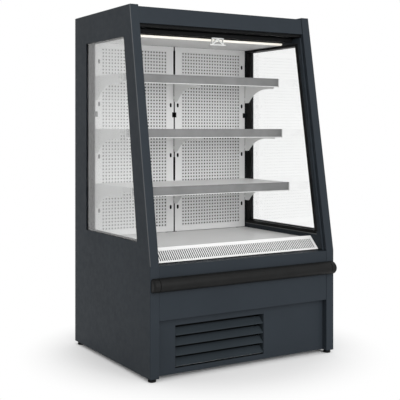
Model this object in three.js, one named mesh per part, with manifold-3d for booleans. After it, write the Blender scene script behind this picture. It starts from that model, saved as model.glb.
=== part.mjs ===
// Open multideck display fridge, in millimetres.
// +Z is up, the open front faces -Y, +X is to the right of someone who stands in front of it.
// The origin is on the floor, under the middle of the object's bounding box.
//
// "depth" is always measured forwards from the back edges of the side walls.

import * as THREE from 'three';
import { mergeVertices } from 'three/addons/utils/BufferGeometryUtils.js';
import Module from 'manifold-3d';

const wasm = await Module();
wasm.setup();

// ---------------------------------------------------------------- driving dimensions

// Case
const CASE_WIDTH = 1000;
const CASE_DEPTH = 810; // back edge to the lower front plane
const TOP_DEPTH = 614; // back edge to the front plane at the very top
const CASE_HEIGHT = 1635;
const KINK_HEIGHT = 496; // the front is upright below this and leans back above it
const FLOOR_GAP = 15; // under the side walls
const GAP = 0.3; // between faces that touch on the real object
const SHEET = 2; // folded sheet metal

// Side walls and their windows
const WALL_THICKNESS = 44;
const LINING_THICKNESS = 8.5; // raised inner lining round the window
const LINING_FRONT_INSET = 20;
const LINING_TOP_DROP = 100; // from the top of the case
const SKIN_LIP = 6; // outer skin that holds the glass from outside
const WINDOW_REAR = 142; // depth of the rear edge of the clear opening
const WINDOW_SILL = 40; // above the deck
const WINDOW_TOP_DROP = 139; // from the top of the case
const WINDOW_FRONT_INSET = 66; // behind the front plane
const SKIN_FRONT_INSET = { low: 108, high: 84 }; // the outer skin covers more of the front edge
const SKIN_REAR_INSET = 6; // the outer skin ends this far behind the clear opening
const GLASS_THICKNESS = 22; // whole double-glazed unit
const GLASS_COVER = { rear: 10, front: 10, top: 10, bottom: 5 }; // unit edge held in the frame
const FRAME_FLANGE = { rear: 12, front: 23, top: 12, bottom: 5 };

// Insulated body
const BACK_INSET = 2;
const FOAM_WALL = 60;
const FOAM_FLOOR = 40;
const MACHINE_ROOM_TOP = 340;
const BULKHEAD_TOP_DROP = 4; // under the kink of the front
const BULKHEAD_THICKNESS = 48;
const BULKHEAD_INSET = 14; // foam front behind the front plane
const ROOF_TOP_DROP = 8;
const ROOF_THICKNESS = 67;
const ROOF_FRONT_INSET = 74; // the roller bay is in front of the foam roof
const TUB_SIDE_THICKNESS = 26;

// Cold-air duct, rear panels and uprights
const DUCT_DEPTH = 67;
const PANEL_SHEET = 1.5;
const PANEL_CENTRE_SLIT = 8;
const PANEL_SIDE_MARGIN = 5.5; // from the lining to the rear panel's outer edge
const UPRIGHT_WIDTH = 30;
const SIDE_UPRIGHT_WIDTH = 19;
const HOLE_OVAL = { width: 9, height: 17 };
const CENTRE_OVAL_OFFSET = 21;
const SIDE_OVAL_INSET = 25.5; // from the lining
const OVAL_DROP = 136; // under each shelf
const TOP_OVAL_RISE = 75; // over the top shelf
const SQUARE_HOLE = 22;
const SQUARE_DROP = 186; // under the top shelf
const UPRIGHT_SLOT_WIDTH = 12;

// Display opening
const DECK_HEIGHT = 546;
const DECK_REAR_GAP = 1;
const CEILING_DROP = 127; // from the top of the case
const LINER_CLEARANCE = 1; // deck and grille to each side lining

// Shelves, from the top one down. A height is a share of the way from the deck to the ceiling.
const SHELVES = [
  { name: 'top', share: 0.825, depth: 440, bracketDepth: 397 },
  { name: 'middle', share: 0.555, depth: 470, bracketDepth: 409 },
  { name: 'bottom', share: 0.2755, depth: 530, bracketDepth: 435 },
];
const SHELF_SIDE_CLEARANCE = 1.5;
const BRACKET_THICKNESS = 3;
const BRACKET_FRONT_HEIGHT = 50;
const BRACKET_REAR_HEIGHT = 118;
const BRACKET_TAIL_WIDTH = 35;
const BRACKET_CURVE_END = 180;
const BRACKET_LEDGE = { width: 13, drop: 22, front: 12 };
const HOOK = { reach: 11, height: 14, upper: 12, lower: 90 };
const HOOK_CLEARANCE = 1.2;
const TRAY_FRONT_LIP = 40;
const RAIL_HEIGHT = 43.5;
const RAIL_THICKNESS = 8.7;
const RAIL_LIP = { height: 3.5, projection: 2 };

// Return-air grille
const GRILLE_DEPTH = 179; // rear edge behind the front plane
const GRILLE_FOLD = { inset: 111, height: 557.5 };
const GRILLE_LIP = { inset: 52, height: 501 };
const GRILLE_SLOT = { width: 5, pitch: 10.7, start: 0.22, end: 0.86, margin: 12 };

// Front panels, bumper and feet
const FRONT_PANEL_BOTTOM = 260;
const FRONT_PANEL_INSET = 1.5;
const FRONT_CAP_DEPTH = 48;
const BUMPER = { projection: 36, height: 62, centre: 413, endInset: 4, capLength: 30 };
const BUMPER_ARC_STEPS = 12;
const KICK = { inset: 29, bottom: 17, top: 258, depth: 13 };
const LOUVRE = { left: 94, width: 469, bottom: 40, top: 226, blades: 4, thickness: 2, drop: 9 };
const FOOT = { radius: 18, height: 13, stem: 6, stemTop: 50, rear: 30, front: 25, travel: 12 };

// Canopy
const HEADER = { bottomDrop: 83, topDrop: 7, inset: 4, sheet: 2.5, returnDepth: 16 };
const LAMP = { frontInset: 147, thickness: 11.7, height: 17 };
const HONEYCOMB = { frontInset: 80, drop: 117, height: 16.5, rows: 2, columns: 30, wall: 3 };
const SOFFIT = { drop: 97, sheet: 3, rearInset: 64, cheek: 9.7, cheekTopDrop: 15 };
const ROLLER = { inset: 50, drop: 45, radius: 16, pin: 5, fabricRadius: 23, endGap: 6 };
const FABRIC_MARGIN = 10;
const BLIND_BAR = { inset: 63, width: 20, height: 22, sideGap: 9.5 };
const HANDLE = { width: 88, body: 66, height: 36, thickness: 8, strut: 5, foot: 5.5 };

// Machine room and cooling parts
const BACK_COVER = { depth: 12, sheet: 2, vents: 7, ventPitch: 30, ventHeight: 8, ventWidth: 520 };
const GLAND = { radius: 11, bore: 5, fromSide: 76, height: 70 };
const BASE = { sheet: 3, flange: 35 };
const CONDENSER = { front: 75, depth: 80, height: 232, fins: 22, finGap: 10, finDepth: 60 };
const FAN_SHROUD = { gap: 13, sheet: 2, hole: 90, fanCentre: 140 };
const CONDENSER_FAN = { radius: 84, hub: 24, width: 20, blades: 5 };
const COMPRESSOR = { fromSide: 206, depth: 380, radius: 80, height: 195, foot: 95 };
const DRIP_TRAY = { fromSide: 56, width: 340, rear: 120, length: 300, height: 40 };
const CONTROL_BOX = { fromSide: 36, width: 200, front: 90, depth: 80, height: 200, chamfer: 8 };
const EVAPORATOR = { rear: 470, depth: 150, height: 84, sideGap: 30, fins: 30, finGap: 9, foot: 12 };
const EVAP_PLATE = { depth: 400, hole: 62, fanSpacing: 400, fanHeight: 82 };
const EVAP_FAN = { radius: 58, hub: 20, width: 15, blades: 5 };
const FAN_STRUT = 12;
const BLADE = { thickness: 2, pitch: 0.5 };

// ---------------------------------------------------------------- levels and planes from them

const TOTAL_DEPTH = CASE_DEPTH + BUMPER.projection;
const BACK_Y = TOTAL_DEPTH / 2;
const HALF = CASE_WIDTH / 2;
const INNER = HALF - WALL_THICKNESS; // inner face of the side walls
const LINER = INNER - LINING_THICKNESS; // face of the raised lining
const BETWEEN_WALLS = INNER - GAP; // half-width of what fits between the walls
const SLOPE = (CASE_DEPTH - TOP_DEPTH) / (CASE_HEIGHT - KINK_HEIGHT);

const BULKHEAD_TOP = KINK_HEIGHT - BULKHEAD_TOP_DROP;
const LINING_BOTTOM = KINK_HEIGHT + 1;
const LINING_TOP = CASE_HEIGHT - LINING_TOP_DROP;
const CEILING = CASE_HEIGHT - CEILING_DROP;
const WINDOW_BOTTOM = DECK_HEIGHT + WINDOW_SILL;
const WINDOW_TOP = CASE_HEIGHT - WINDOW_TOP_DROP;
const TANK_FLOOR = MACHINE_ROOM_TOP + FOAM_FLOOR;
const ROOF_TOP = CASE_HEIGHT - ROOF_TOP_DROP;
const ROOF_UNDERSIDE = ROOF_TOP - ROOF_THICKNESS;
const ROOF_FRONT = TOP_DEPTH - ROOF_FRONT_INSET;
const WALL_FRONT = BACK_INSET + FOAM_WALL; // front of the insulated back wall
const DUCT_FRONT = WALL_FRONT + DUCT_DEPTH; // back of the rear panels
const PANEL_FACE = DUCT_FRONT + PANEL_SHEET;
const BULKHEAD_OUTER = CASE_DEPTH - BULKHEAD_INSET;
const BULKHEAD_INNER = BULKHEAD_OUTER - BULKHEAD_THICKNESS;
const SIDE_PANEL_EDGE = LINER - PANEL_SIDE_MARGIN;
const GRILLE_REAR = CASE_DEPTH - GRILLE_DEPTH;
const BASE_FRONT = CASE_DEPTH - KICK.inset - KICK.depth - 0.5;
const BASE_REAR = BACK_COVER.depth + BACK_COVER.sheet + 0.5;
const MACHINE_FLOOR = FLOOR_GAP + BASE.sheet + GAP;
const SHELF_HEIGHTS = SHELVES.map(({ share }) => DECK_HEIGHT + share * (CEILING - DECK_HEIGHT));

const fromBack = (depth) => BACK_Y - depth;

function frontDepth(z) {
  return CASE_DEPTH - SLOPE * Math.max(0, z - KINK_HEIGHT);
}

// x range between two distances from the middle, on the left (side -1) or the right (side 1).
function span(side, near, far) {
  return side < 0 ? [-far, -near] : [near, far];
}

// ---------------------------------------------------------------- shapes

// Where a drawing's two axes and its thickness lie: along x the drawing is [depth, z],
// along y it is [x, z] and starts at a depth, along z it is [x, depth].
const DRAWINGS = {
  x: {
    point: ([depth, z]) => new THREE.Vector2(fromBack(depth), z),
    axes: [new THREE.Vector3(0, 1, 0), new THREE.Vector3(0, 0, 1), new THREE.Vector3(1, 0, 0)],
    start: (from) => new THREE.Vector3(from, 0, 0),
  },
  y: {
    point: ([x, z]) => new THREE.Vector2(x, z),
    axes: [new THREE.Vector3(1, 0, 0), new THREE.Vector3(0, 0, 1), new THREE.Vector3(0, -1, 0)],
    start: (from) => new THREE.Vector3(0, fromBack(from), 0),
  },
  z: {
    point: ([x, depth]) => new THREE.Vector2(x, fromBack(depth)),
    axes: [new THREE.Vector3(1, 0, 0), new THREE.Vector3(0, 1, 0), new THREE.Vector3(0, 0, 1)],
    start: (from) => new THREE.Vector3(0, 0, from),
  },
};

function prism(axis, outline, [from, to], holes = []) {
  const { point, axes, start } = DRAWINGS[axis];
  const shape = new THREE.Shape(outline.map(point));
  const geometry = new THREE.ExtrudeGeometry(shape, { depth: to - from, bevelEnabled: false });
  geometry.applyMatrix4(new THREE.Matrix4().makeBasis(...axes).setPosition(start(from)));
  if (holes.length === 0) {
    return geometry;
  }
  return cut(geometry, ...holes.map((hole) => prism(axis, hole, [from - 1, to + 1])));
}

function box([x0, x1], [depth0, depth1], [z0, z1]) {
  const geometry = new THREE.BoxGeometry(x1 - x0, depth1 - depth0, z1 - z0);
  return geometry.translate((x0 + x1) / 2, fromBack((depth0 + depth1) / 2), (z0 + z1) / 2);
}

function rectangle([u0, u1], [v0, v1]) {
  return [[u0, v0], [u1, v0], [u1, v1], [u0, v1]];
}

function disc(u, v, radius, steps = 24) {
  const angles = Array.from({ length: steps }, (_, i) => (2 * Math.PI * i) / steps);
  return angles.map((angle) => [u + radius * Math.cos(angle), v + radius * Math.sin(angle)]);
}

// An upright slot with round ends.
function oval(u, v, { width, height }, steps = 6) {
  const radius = width / 2;
  const straight = height / 2 - radius;
  const half = (turn, centre) => Array.from({ length: steps + 1 }, (_, i) => {
    const angle = turn + (Math.PI * i) / steps;
    return [u + radius * Math.cos(angle), centre + radius * Math.sin(angle)];
  });
  return [...half(0, v + straight), ...half(Math.PI, v - straight)];
}

// A turned piece about its own Y axis. The profile is [radius, along].
function turned(profile, steps = 32) {
  return new THREE.LatheGeometry(profile.map(([r, y]) => new THREE.Vector2(r, y)), steps);
}

// ---------------------------------------------------------------- joins and cuts

function solid(geometry) {
  const bare = geometry.clone();
  bare.deleteAttribute('normal');
  bare.deleteAttribute('uv');
  const merged = mergeVertices(bare, 1e-4);
  const vertProperties = new Float32Array(merged.attributes.position.array);
  const triVerts = new Uint32Array(merged.index.array);
  return new wasm.Manifold(new wasm.Mesh({ numProp: 3, vertProperties, triVerts }));
}

function surface(manifold) {
  const mesh = manifold.getMesh();
  const geometry = new THREE.BufferGeometry();
  const positions = new Float32Array(mesh.vertProperties);
  geometry.setAttribute('position', new THREE.BufferAttribute(positions, 3));
  geometry.setIndex(new THREE.BufferAttribute(new Uint32Array(mesh.triVerts), 1));
  geometry.computeVertexNormals();
  return geometry;
}

function join(...geometries) {
  return surface(geometries.map(solid).reduce((whole, piece) => whole.add(piece)));
}

function cut(geometry, ...tools) {
  const tool = tools.map(solid).reduce((whole, piece) => whole.add(piece));
  return surface(solid(geometry).subtract(tool));
}

// ---------------------------------------------------------------- finishes

const finish = (color, roughness, metalness) => () =>
  new THREE.MeshStandardMaterial({ color, roughness, metalness });

const ANTHRACITE = finish(0x3a4045, 0.45, 0.1);
const BLACK_PLASTIC = finish(0x1a1a1b, 0.5, 0);
const BUMPER_BLACK = finish(0x262625, 0.55, 0);
const WHITE_PAINT = finish(0xececec, 0.4, 0.05);
const LIGHT_GREY = finish(0xc4c4c4, 0.45, 0.05);
const RAIL_GREY = finish(0x8e8e8e, 0.5, 0);
const GLASS = finish(0xdfeaea, 0.05, 0);
const LAMP_WHITE = finish(0xfaf7e8, 0.3, 0);
const FABRIC = finish(0xb9bcbe, 0.9, 0);
const WHITE_PLASTIC = finish(0xdcdedf, 0.4, 0);
const GALVANISED = finish(0xa9adb0, 0.45, 0.7);
const ALUMINIUM = finish(0xc2c5c8, 0.35, 0.8);
const COMPRESSOR_BLACK = finish(0x202122, 0.4, 0.2);
const DARK_GREY = finish(0x34383b, 0.5, 0.1);

const fridge = new THREE.Group();

function part(name, geometry, material, parent = fridge) {
  const mesh = new THREE.Mesh(geometry, material());
  mesh.name = name;
  parent.add(mesh);
  return mesh;
}

const SIDES = [
  { side: -1, label: 'left' },
  { side: 1, label: 'right' },
];

// ---------------------------------------------------------------- side walls, glass and frames

// The clear window opening, made larger by an amount on each edge.
function windowOutline({ rear, front, top, bottom }) {
  const low = WINDOW_BOTTOM - bottom;
  const high = WINDOW_TOP + top;
  return [
    [WINDOW_REAR - rear, low],
    [frontDepth(low) - WINDOW_FRONT_INSET + front, low],
    [frontDepth(high) - WINDOW_FRONT_INSET + front, high],
    [WINDOW_REAR - rear, high],
  ];
}

function grown(edges, amount) {
  return Object.fromEntries(Object.entries(edges).map(([edge, size]) => [edge, size + amount]));
}

const CLEAR_WINDOW = windowOutline({ rear: 0, front: 0, top: 0, bottom: 0 });

function sideWall(side) {
  const outline = [
    [0, FLOOR_GAP],
    [CASE_DEPTH, FLOOR_GAP],
    [CASE_DEPTH, KINK_HEIGHT],
    [TOP_DEPTH, CASE_HEIGHT],
    [0, CASE_HEIGHT],
  ];
  const lining = [
    [WALL_FRONT + GAP, LINING_BOTTOM],
    [frontDepth(LINING_BOTTOM) - LINING_FRONT_INSET, LINING_BOTTOM],
    [frontDepth(LINING_TOP) - LINING_FRONT_INSET, LINING_TOP],
    [WALL_FRONT + GAP, LINING_TOP],
  ];
  const skinOpening = [
    [WINDOW_REAR - SKIN_REAR_INSET, WINDOW_BOTTOM],
    [frontDepth(WINDOW_BOTTOM) - SKIN_FRONT_INSET.low, WINDOW_BOTTOM],
    [frontDepth(WINDOW_TOP) - SKIN_FRONT_INSET.high, WINDOW_TOP],
    [WINDOW_REAR - SKIN_REAR_INSET, WINDOW_TOP],
  ];
  const glassPocket = windowOutline(grown(GLASS_COVER, GAP));
  const flangePocket = windowOutline(grown(FRAME_FLANGE, GAP));
  const wall = join(
    prism('x', outline, span(side, INNER, HALF)),
    prism('x', lining, span(side, LINER, INNER + 1)),
  );
  const stemHoles = [FOOT.rear, CASE_DEPTH - FOOT.front].map((depth) => prism(
    'z',
    disc(side * (HALF - WALL_THICKNESS / 2), depth, FOOT.stem + GAP),
    [FLOOR_GAP - 1, FOOT.stemTop + 2],
  ));
  return cut(
    wall,
    prism('x', skinOpening, span(side, LINER - 1, HALF + 1)),
    prism('x', glassPocket, span(side, LINER - 1, HALF - SKIN_LIP)),
    prism('x', flangePocket, span(side, LINER - 1, INNER)),
    ...stemHoles,
  );
}

function glazing(side) {
  const outer = HALF - SKIN_LIP - GAP;
  return prism('x', windowOutline(GLASS_COVER), span(side, outer - GLASS_THICKNESS, outer));
}

function windowFrame(side) {
  const glassFace = HALF - SKIN_LIP - GAP - GLASS_THICKNESS - GAP;
  const ring = prism('x', windowOutline(GLASS_COVER), span(side, LINER, glassFace));
  const flange = prism('x', windowOutline(FRAME_FLANGE), span(side, LINER, INNER - GAP));
  return cut(join(ring, flange), prism('x', CLEAR_WINDOW, span(side, LINER - 1, HALF)));
}

for (const { side, label } of SIDES) {
  part(`side_wall_${label}`, sideWall(side), ANTHRACITE);
  part(`side_glazing_${label}`, glazing(side), GLASS);
  part(`window_frame_${label}`, windowFrame(side), BLACK_PLASTIC);
}

// ---------------------------------------------------------------- insulated body

function insulatedBody() {
  const section = [
    [BACK_INSET, MACHINE_ROOM_TOP],
    [BULKHEAD_OUTER, MACHINE_ROOM_TOP],
    [BULKHEAD_OUTER, BULKHEAD_TOP],
    [BULKHEAD_INNER, BULKHEAD_TOP],
    [BULKHEAD_INNER, TANK_FLOOR],
    [WALL_FRONT, TANK_FLOOR],
    [WALL_FRONT, ROOF_UNDERSIDE],
    [ROOF_FRONT, ROOF_UNDERSIDE],
    [ROOF_FRONT, ROOF_TOP],
    [BACK_INSET, ROOF_TOP],
  ];
  const shell = prism('x', section, [-BETWEEN_WALLS, BETWEEN_WALLS]);
  const tubSides = SIDES.map(({ side }) => box(
    span(side, BETWEEN_WALLS - TUB_SIDE_THICKNESS, BETWEEN_WALLS),
    [WALL_FRONT - 1, BULKHEAD_INNER + 1],
    [TANK_FLOOR - 1, LINING_BOTTOM - GAP],
  ));
  return join(shell, ...tubSides);
}

function backCover() {
  const height = [FLOOR_GAP + SHEET, MACHINE_ROOM_TOP - GAP];
  const middle = (height[0] + height[1]) / 2;
  const { depth, sheet, vents, ventPitch, ventHeight, ventWidth } = BACK_COVER;
  const glandX = INNER - GLAND.fromSide;
  const slots = Array.from({ length: vents }, (_, i) => {
    const z = middle + (i - (vents - 1) / 2) * ventPitch;
    return rectangle([-ventWidth / 2, ventWidth / 2], [z - ventHeight / 2, z + ventHeight / 2]);
  });
  const plate = prism('y', rectangle([-BETWEEN_WALLS, BETWEEN_WALLS], height),
    [depth, depth + sheet], slots);
  const boss = prism('y', disc(glandX, GLAND.height, GLAND.radius), [BACK_INSET, depth + 1]);
  const bore = prism('y', disc(glandX, GLAND.height, GLAND.bore), [0, depth + sheet + 1]);
  return cut(join(plate, boss), bore);
}

function baseFrame() {
  const top = FLOOR_GAP + BASE.flange;
  const floor = FLOOR_GAP + BASE.sheet;
  const section = [
    [BASE_REAR, FLOOR_GAP],
    [BASE_FRONT, FLOOR_GAP],
    [BASE_FRONT, top],
    [BASE_FRONT - BASE.sheet, top],
    [BASE_FRONT - BASE.sheet, floor],
    [BASE_REAR + BASE.sheet, floor],
    [BASE_REAR + BASE.sheet, top],
    [BASE_REAR, top],
  ];
  return prism('x', section, [-BETWEEN_WALLS, BETWEEN_WALLS]);
}

part('insulated_body', insulatedBody(), LIGHT_GREY);
part('back_cover', backCover(), GALVANISED);
part('base_frame', baseFrame(), GALVANISED);

// ---------------------------------------------------------------- rear panels and uprights

const PANEL_HEIGHT = [DECK_HEIGHT + SHEET, CEILING - 0.5];
const TOP_SHELF = SHELF_HEIGHTS[0];
const BOTTOM_SHELF = SHELF_HEIGHTS[SHELF_HEIGHTS.length - 1];
// Open stretches of the centre slit, between the brackets: [low, high].
const CENTRE_SLOTS = [
  [TOP_SHELF + 25, CEILING - 20],
  [BOTTOM_SHELF + 5, BOTTOM_SHELF + 123],
];
const SQUARE_CENTRE = TOP_SHELF - SQUARE_DROP;
const SQUARE_RANGE = [SQUARE_CENTRE - SQUARE_HOLE / 2, SQUARE_CENTRE + SQUARE_HOLE / 2];

function rearPanel(side) {
  const panelDepth = [DUCT_FRONT, PANEL_FACE];
  const through = [DUCT_FRONT - 1, PANEL_FACE + 1];
  const sheet = box(span(side, PANEL_CENTRE_SLIT / 2, SIDE_PANEL_EDGE), panelDepth, PANEL_HEIGHT);
  const slots = CENTRE_SLOTS.map((range) => box(
    span(side, 0, UPRIGHT_SLOT_WIDTH / 2), through, range,
  ));
  const squares = [
    box(span(side, 0, SQUARE_HOLE / 2), through, SQUARE_RANGE),
    box(span(side, SIDE_PANEL_EDGE - SQUARE_HOLE / 2, SIDE_PANEL_EDGE + 1), through, SQUARE_RANGE),
  ];
  const sideOvalX = side * (LINER - SIDE_OVAL_INSET);
  const ovals = SHELF_HEIGHTS.flatMap((z) => [
    [side * CENTRE_OVAL_OFFSET, z - OVAL_DROP],
    [sideOvalX, z - OVAL_DROP],
  ]);
  ovals.push([sideOvalX, TOP_SHELF + TOP_OVAL_RISE]);
  const ovalTools = ovals
    .filter(([, z]) => z > PANEL_HEIGHT[0] + HOLE_OVAL.height)
    .map(([x, z]) => prism('y', oval(x, z, HOLE_OVAL), through));
  return cut(sheet, ...slots, ...squares, ...ovalTools);
}

// Slot that a bracket's two hooks pass through, at each shelf.
function hookSlots(range, depths) {
  return SHELF_HEIGHTS.flatMap((shelf) => [HOOK.upper, HOOK.lower].map((drop) => box(range, depths, [
    shelf - drop - HOOK.height - HOOK_CLEARANCE,
    shelf - drop + HOOK_CLEARANCE,
  ])));
}

function upright([x0, x1], slotRange, openSlots) {
  const back = WALL_FRONT + GAP;
  const front = DUCT_FRONT - GAP;
  const height = [LINING_BOTTOM + SHEET, CEILING - GAP];
  const channel = cut(
    box([x0, x1], [back, front], height),
    box([x0 + SHEET, x1 - SHEET], [back - 1, front - SHEET], [height[0] - 1, height[1] + 1]),
  );
  const web = [front - HOOK.reach - 1, front + 1];
  return cut(channel, ...hookSlots(slotRange, web), ...openSlots.map((slot) => box(...slot(web))));
}

for (const { side, label } of SIDES) {
  part(`rear_panel_${label}`, rearPanel(side), LIGHT_GREY);
  const bracketCentre = LINER - SHELF_SIDE_CLEARANCE - BRACKET_THICKNESS / 2;
  const slotNear = bracketCentre - BRACKET_THICKNESS / 2 - HOOK_CLEARANCE / 2;
  const channelEdge = LINER - GAP;
  part(
    `upright_${label}`,
    upright(
      span(side, channelEdge - SIDE_UPRIGHT_WIDTH, channelEdge),
      span(side, slotNear, channelEdge + 1),
      [(web) => [span(side, slotNear, channelEdge + 1), web, SQUARE_RANGE]],
    ),
    GALVANISED,
  );
}
part(
  'upright_centre',
  upright(
    [-UPRIGHT_WIDTH / 2, UPRIGHT_WIDTH / 2],
    [-(BRACKET_THICKNESS + HOOK_CLEARANCE) / 2, (BRACKET_THICKNESS + HOOK_CLEARANCE) / 2],
    [...CENTRE_SLOTS, SQUARE_RANGE].map((range) => (web) => [
      [-UPRIGHT_SLOT_WIDTH / 2, UPRIGHT_SLOT_WIDTH / 2], web, range,
    ]),
  ),
  GALVANISED,
);

// ---------------------------------------------------------------- shelves

// Side view of a bracket plate, with z = 0 at the tray's top face.
function bracketPlate(bracketDepth, top, [x0, x1]) {
  const rear = PANEL_FACE + 0.5;
  const curve = new THREE.QuadraticBezierCurve(
    new THREE.Vector2(rear + BRACKET_CURVE_END, -BRACKET_FRONT_HEIGHT),
    new THREE.Vector2(rear + BRACKET_CURVE_END / 2, -BRACKET_FRONT_HEIGHT - 6),
    new THREE.Vector2(rear + BRACKET_TAIL_WIDTH, -BRACKET_REAR_HEIGHT),
  );
  const outline = [
    [rear, top],
    [bracketDepth, top],
    [bracketDepth, -BRACKET_FRONT_HEIGHT],
    ...curve.getPoints(8).map(({ x, y }) => [x, y]),
    [rear, -BRACKET_REAR_HEIGHT],
  ];
  const hooks = [HOOK.upper, HOOK.lower].map((drop) => box(
    [x0, x1], [rear - HOOK.reach, rear + 2], [-drop - HOOK.height, -drop],
  ));
  return [prism('x', outline, [x0, x1]), ...hooks];
}

function sideBracket(side, bracketDepth) {
  const outer = LINER - SHELF_SIDE_CLEARANCE;
  const inner = outer - BRACKET_THICKNESS;
  const plate = bracketPlate(bracketDepth, 0, span(side, inner, outer));
  const ledge = box(
    span(side, inner - BRACKET_LEDGE.width, inner + 1),
    [PANEL_FACE + 20, bracketDepth - BRACKET_LEDGE.front],
    [-BRACKET_LEDGE.drop - SHEET, -BRACKET_LEDGE.drop],
  );
  return join(...plate, ledge);
}

function centreBracket(bracketDepth) {
  const half = BRACKET_THICKNESS / 2;
  return join(...bracketPlate(bracketDepth, -SHEET - GAP, [-half, half]));
}

function shelfTray(depth) {
  const half = LINER - SHELF_SIDE_CLEARANCE - BRACKET_THICKNESS - 0.4;
  const rear = PANEL_FACE + 1.5;
  const front = depth - RAIL_THICKNESS - GAP;
  const flange = -BRACKET_LEDGE.drop + GAP;
  const centreNotch = BRACKET_THICKNESS / 2 + 1.5;
  const pieces = [box([-half, half], [rear, front], [-SHEET, 0])];
  pieces.push(box([-half, half], [front - SHEET, front], [-TRAY_FRONT_LIP, 0]));
  for (const { side } of SIDES) {
    pieces.push(box(span(side, half - SHEET, half), [rear, front], [flange, 0]));
    pieces.push(box(span(side, centreNotch, half), [rear, rear + SHEET], [flange, 0]));
  }
  return join(...pieces);
}

function priceRail(depth) {
  const half = LINER - SHELF_SIDE_CLEARANCE;
  const face = depth - RAIL_LIP.projection;
  const outline = [
    [depth - RAIL_THICKNESS, 0],
    [face, 0],
    [face, -RAIL_HEIGHT + RAIL_LIP.height + 1],
    [depth, -RAIL_HEIGHT + RAIL_LIP.height],
    [depth, -RAIL_HEIGHT],
    [depth - RAIL_THICKNESS, -RAIL_HEIGHT],
  ];
  return prism('x', outline, [-half, half]);
}

SHELVES.forEach(({ name, depth, bracketDepth }, i) => {
  const shelf = new THREE.Group();
  shelf.position.z = SHELF_HEIGHTS[i];
  fridge.add(shelf);
  part(`shelf_tray_${name}`, shelfTray(depth), LIGHT_GREY, shelf);
  part(`price_rail_${name}`, priceRail(depth), RAIL_GREY, shelf);
  part(`bracket_${name}_left`, sideBracket(-1, bracketDepth), WHITE_PAINT, shelf);
  part(`bracket_${name}_centre`, centreBracket(bracketDepth), WHITE_PAINT, shelf);
  part(`bracket_${name}_right`, sideBracket(1, bracketDepth), WHITE_PAINT, shelf);
});

// ---------------------------------------------------------------- deck and return-air grille

function deckPan() {
  const half = LINER - LINER_CLEARANCE;
  const depths = [PANEL_FACE + DECK_REAR_GAP, GRILLE_REAR - SHEET];
  const foot = LINING_BOTTOM;
  const plate = box([-half, half], depths, [DECK_HEIGHT - SHEET, DECK_HEIGHT]);
  const sides = SIDES.map(({ side }) => box(
    span(side, half - SHEET, half), depths, [foot, DECK_HEIGHT],
  ));
  const lip = box([-half, half], [depths[1] - SHEET, depths[1]], [DECK_HEIGHT - 20, DECK_HEIGHT]);
  return join(plate, ...sides, lip);
}

function returnGrille() {
  const half = LINER - LINER_CLEARANCE;
  const fold = [CASE_DEPTH - GRILLE_FOLD.inset, GRILLE_FOLD.height];
  const lip = [CASE_DEPTH - GRILLE_LIP.inset, GRILLE_LIP.height];
  const foot = BULKHEAD_TOP + GAP;
  const rearTop = DECK_HEIGHT + SHEET;
  const sheet = [
    [GRILLE_REAR, rearTop],
    fold,
    lip,
    [lip[0], foot],
    [lip[0] - SHEET, foot],
    [lip[0] - SHEET, lip[1] - SHEET / 2],
    [fold[0], fold[1] - 1.4 * SHEET],
    [GRILLE_REAR, rearTop - SHEET],
  ];
  const cheek = [
    [GRILLE_REAR, rearTop - 1],
    [fold[0], fold[1] - 1],
    [lip[0] - 1, lip[1] - 0.5],
    [BULKHEAD_INNER - 1, LINING_BOTTOM],
    [GRILLE_REAR, LINING_BOTTOM],
  ];
  const cheeks = SIDES.map(({ side }) => prism('x', cheek, span(side, half - SHEET, half)));
  const along = (share, lift) => [
    fold[0] + share * (lip[0] - fold[0]) + lift,
    fold[1] + share * (lip[1] - fold[1]) + lift,
  ];
  const { start, end, width, pitch, margin } = GRILLE_SLOT;
  const slot = [along(start, 6), along(end, 6), along(end, -6), along(start, -6)];
  const count = Math.floor((2 * (half - margin) - width) / pitch) + 1;
  const slots = Array.from({ length: count }, (_, i) => {
    const x = (i - (count - 1) / 2) * pitch;
    return prism('x', slot, [x - width / 2, x + width / 2]);
  });
  return cut(join(prism('x', sheet, [-half, half]), ...cheeks), ...slots);
}

part('deck_pan', deckPan(), WHITE_PAINT);
part('return_grille', returnGrille(), WHITE_PAINT);

// ---------------------------------------------------------------- lower front

function frontPanel() {
  const face = CASE_DEPTH - FRONT_PANEL_INSET;
  const capTop = BULKHEAD_TOP + GAP + SHEET;
  const capRear = face - FRONT_CAP_DEPTH;
  const returnRear = CASE_DEPTH - KICK.inset + SHEET;
  const section = [
    [capRear, capTop],
    [face, capTop],
    [face, FRONT_PANEL_BOTTOM],
    [returnRear, FRONT_PANEL_BOTTOM],
    [returnRear, FRONT_PANEL_BOTTOM + SHEET],
    [face - SHEET, FRONT_PANEL_BOTTOM + SHEET],
    [face - SHEET, capTop - SHEET],
    [capRear, capTop - SHEET],
  ];
  return prism('x', section, [-BETWEEN_WALLS, BETWEEN_WALLS]);
}

function bumperSection() {
  const back = CASE_DEPTH + GAP;
  const reach = CASE_DEPTH + BUMPER.projection - back;
  return Array.from({ length: BUMPER_ARC_STEPS + 1 }, (_, i) => {
    const angle = -Math.PI / 2 + (Math.PI * i) / BUMPER_ARC_STEPS;
    return [
      back + reach * Math.cos(angle),
      BUMPER.centre + (BUMPER.height / 2) * Math.sin(angle),
    ];
  });
}

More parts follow.
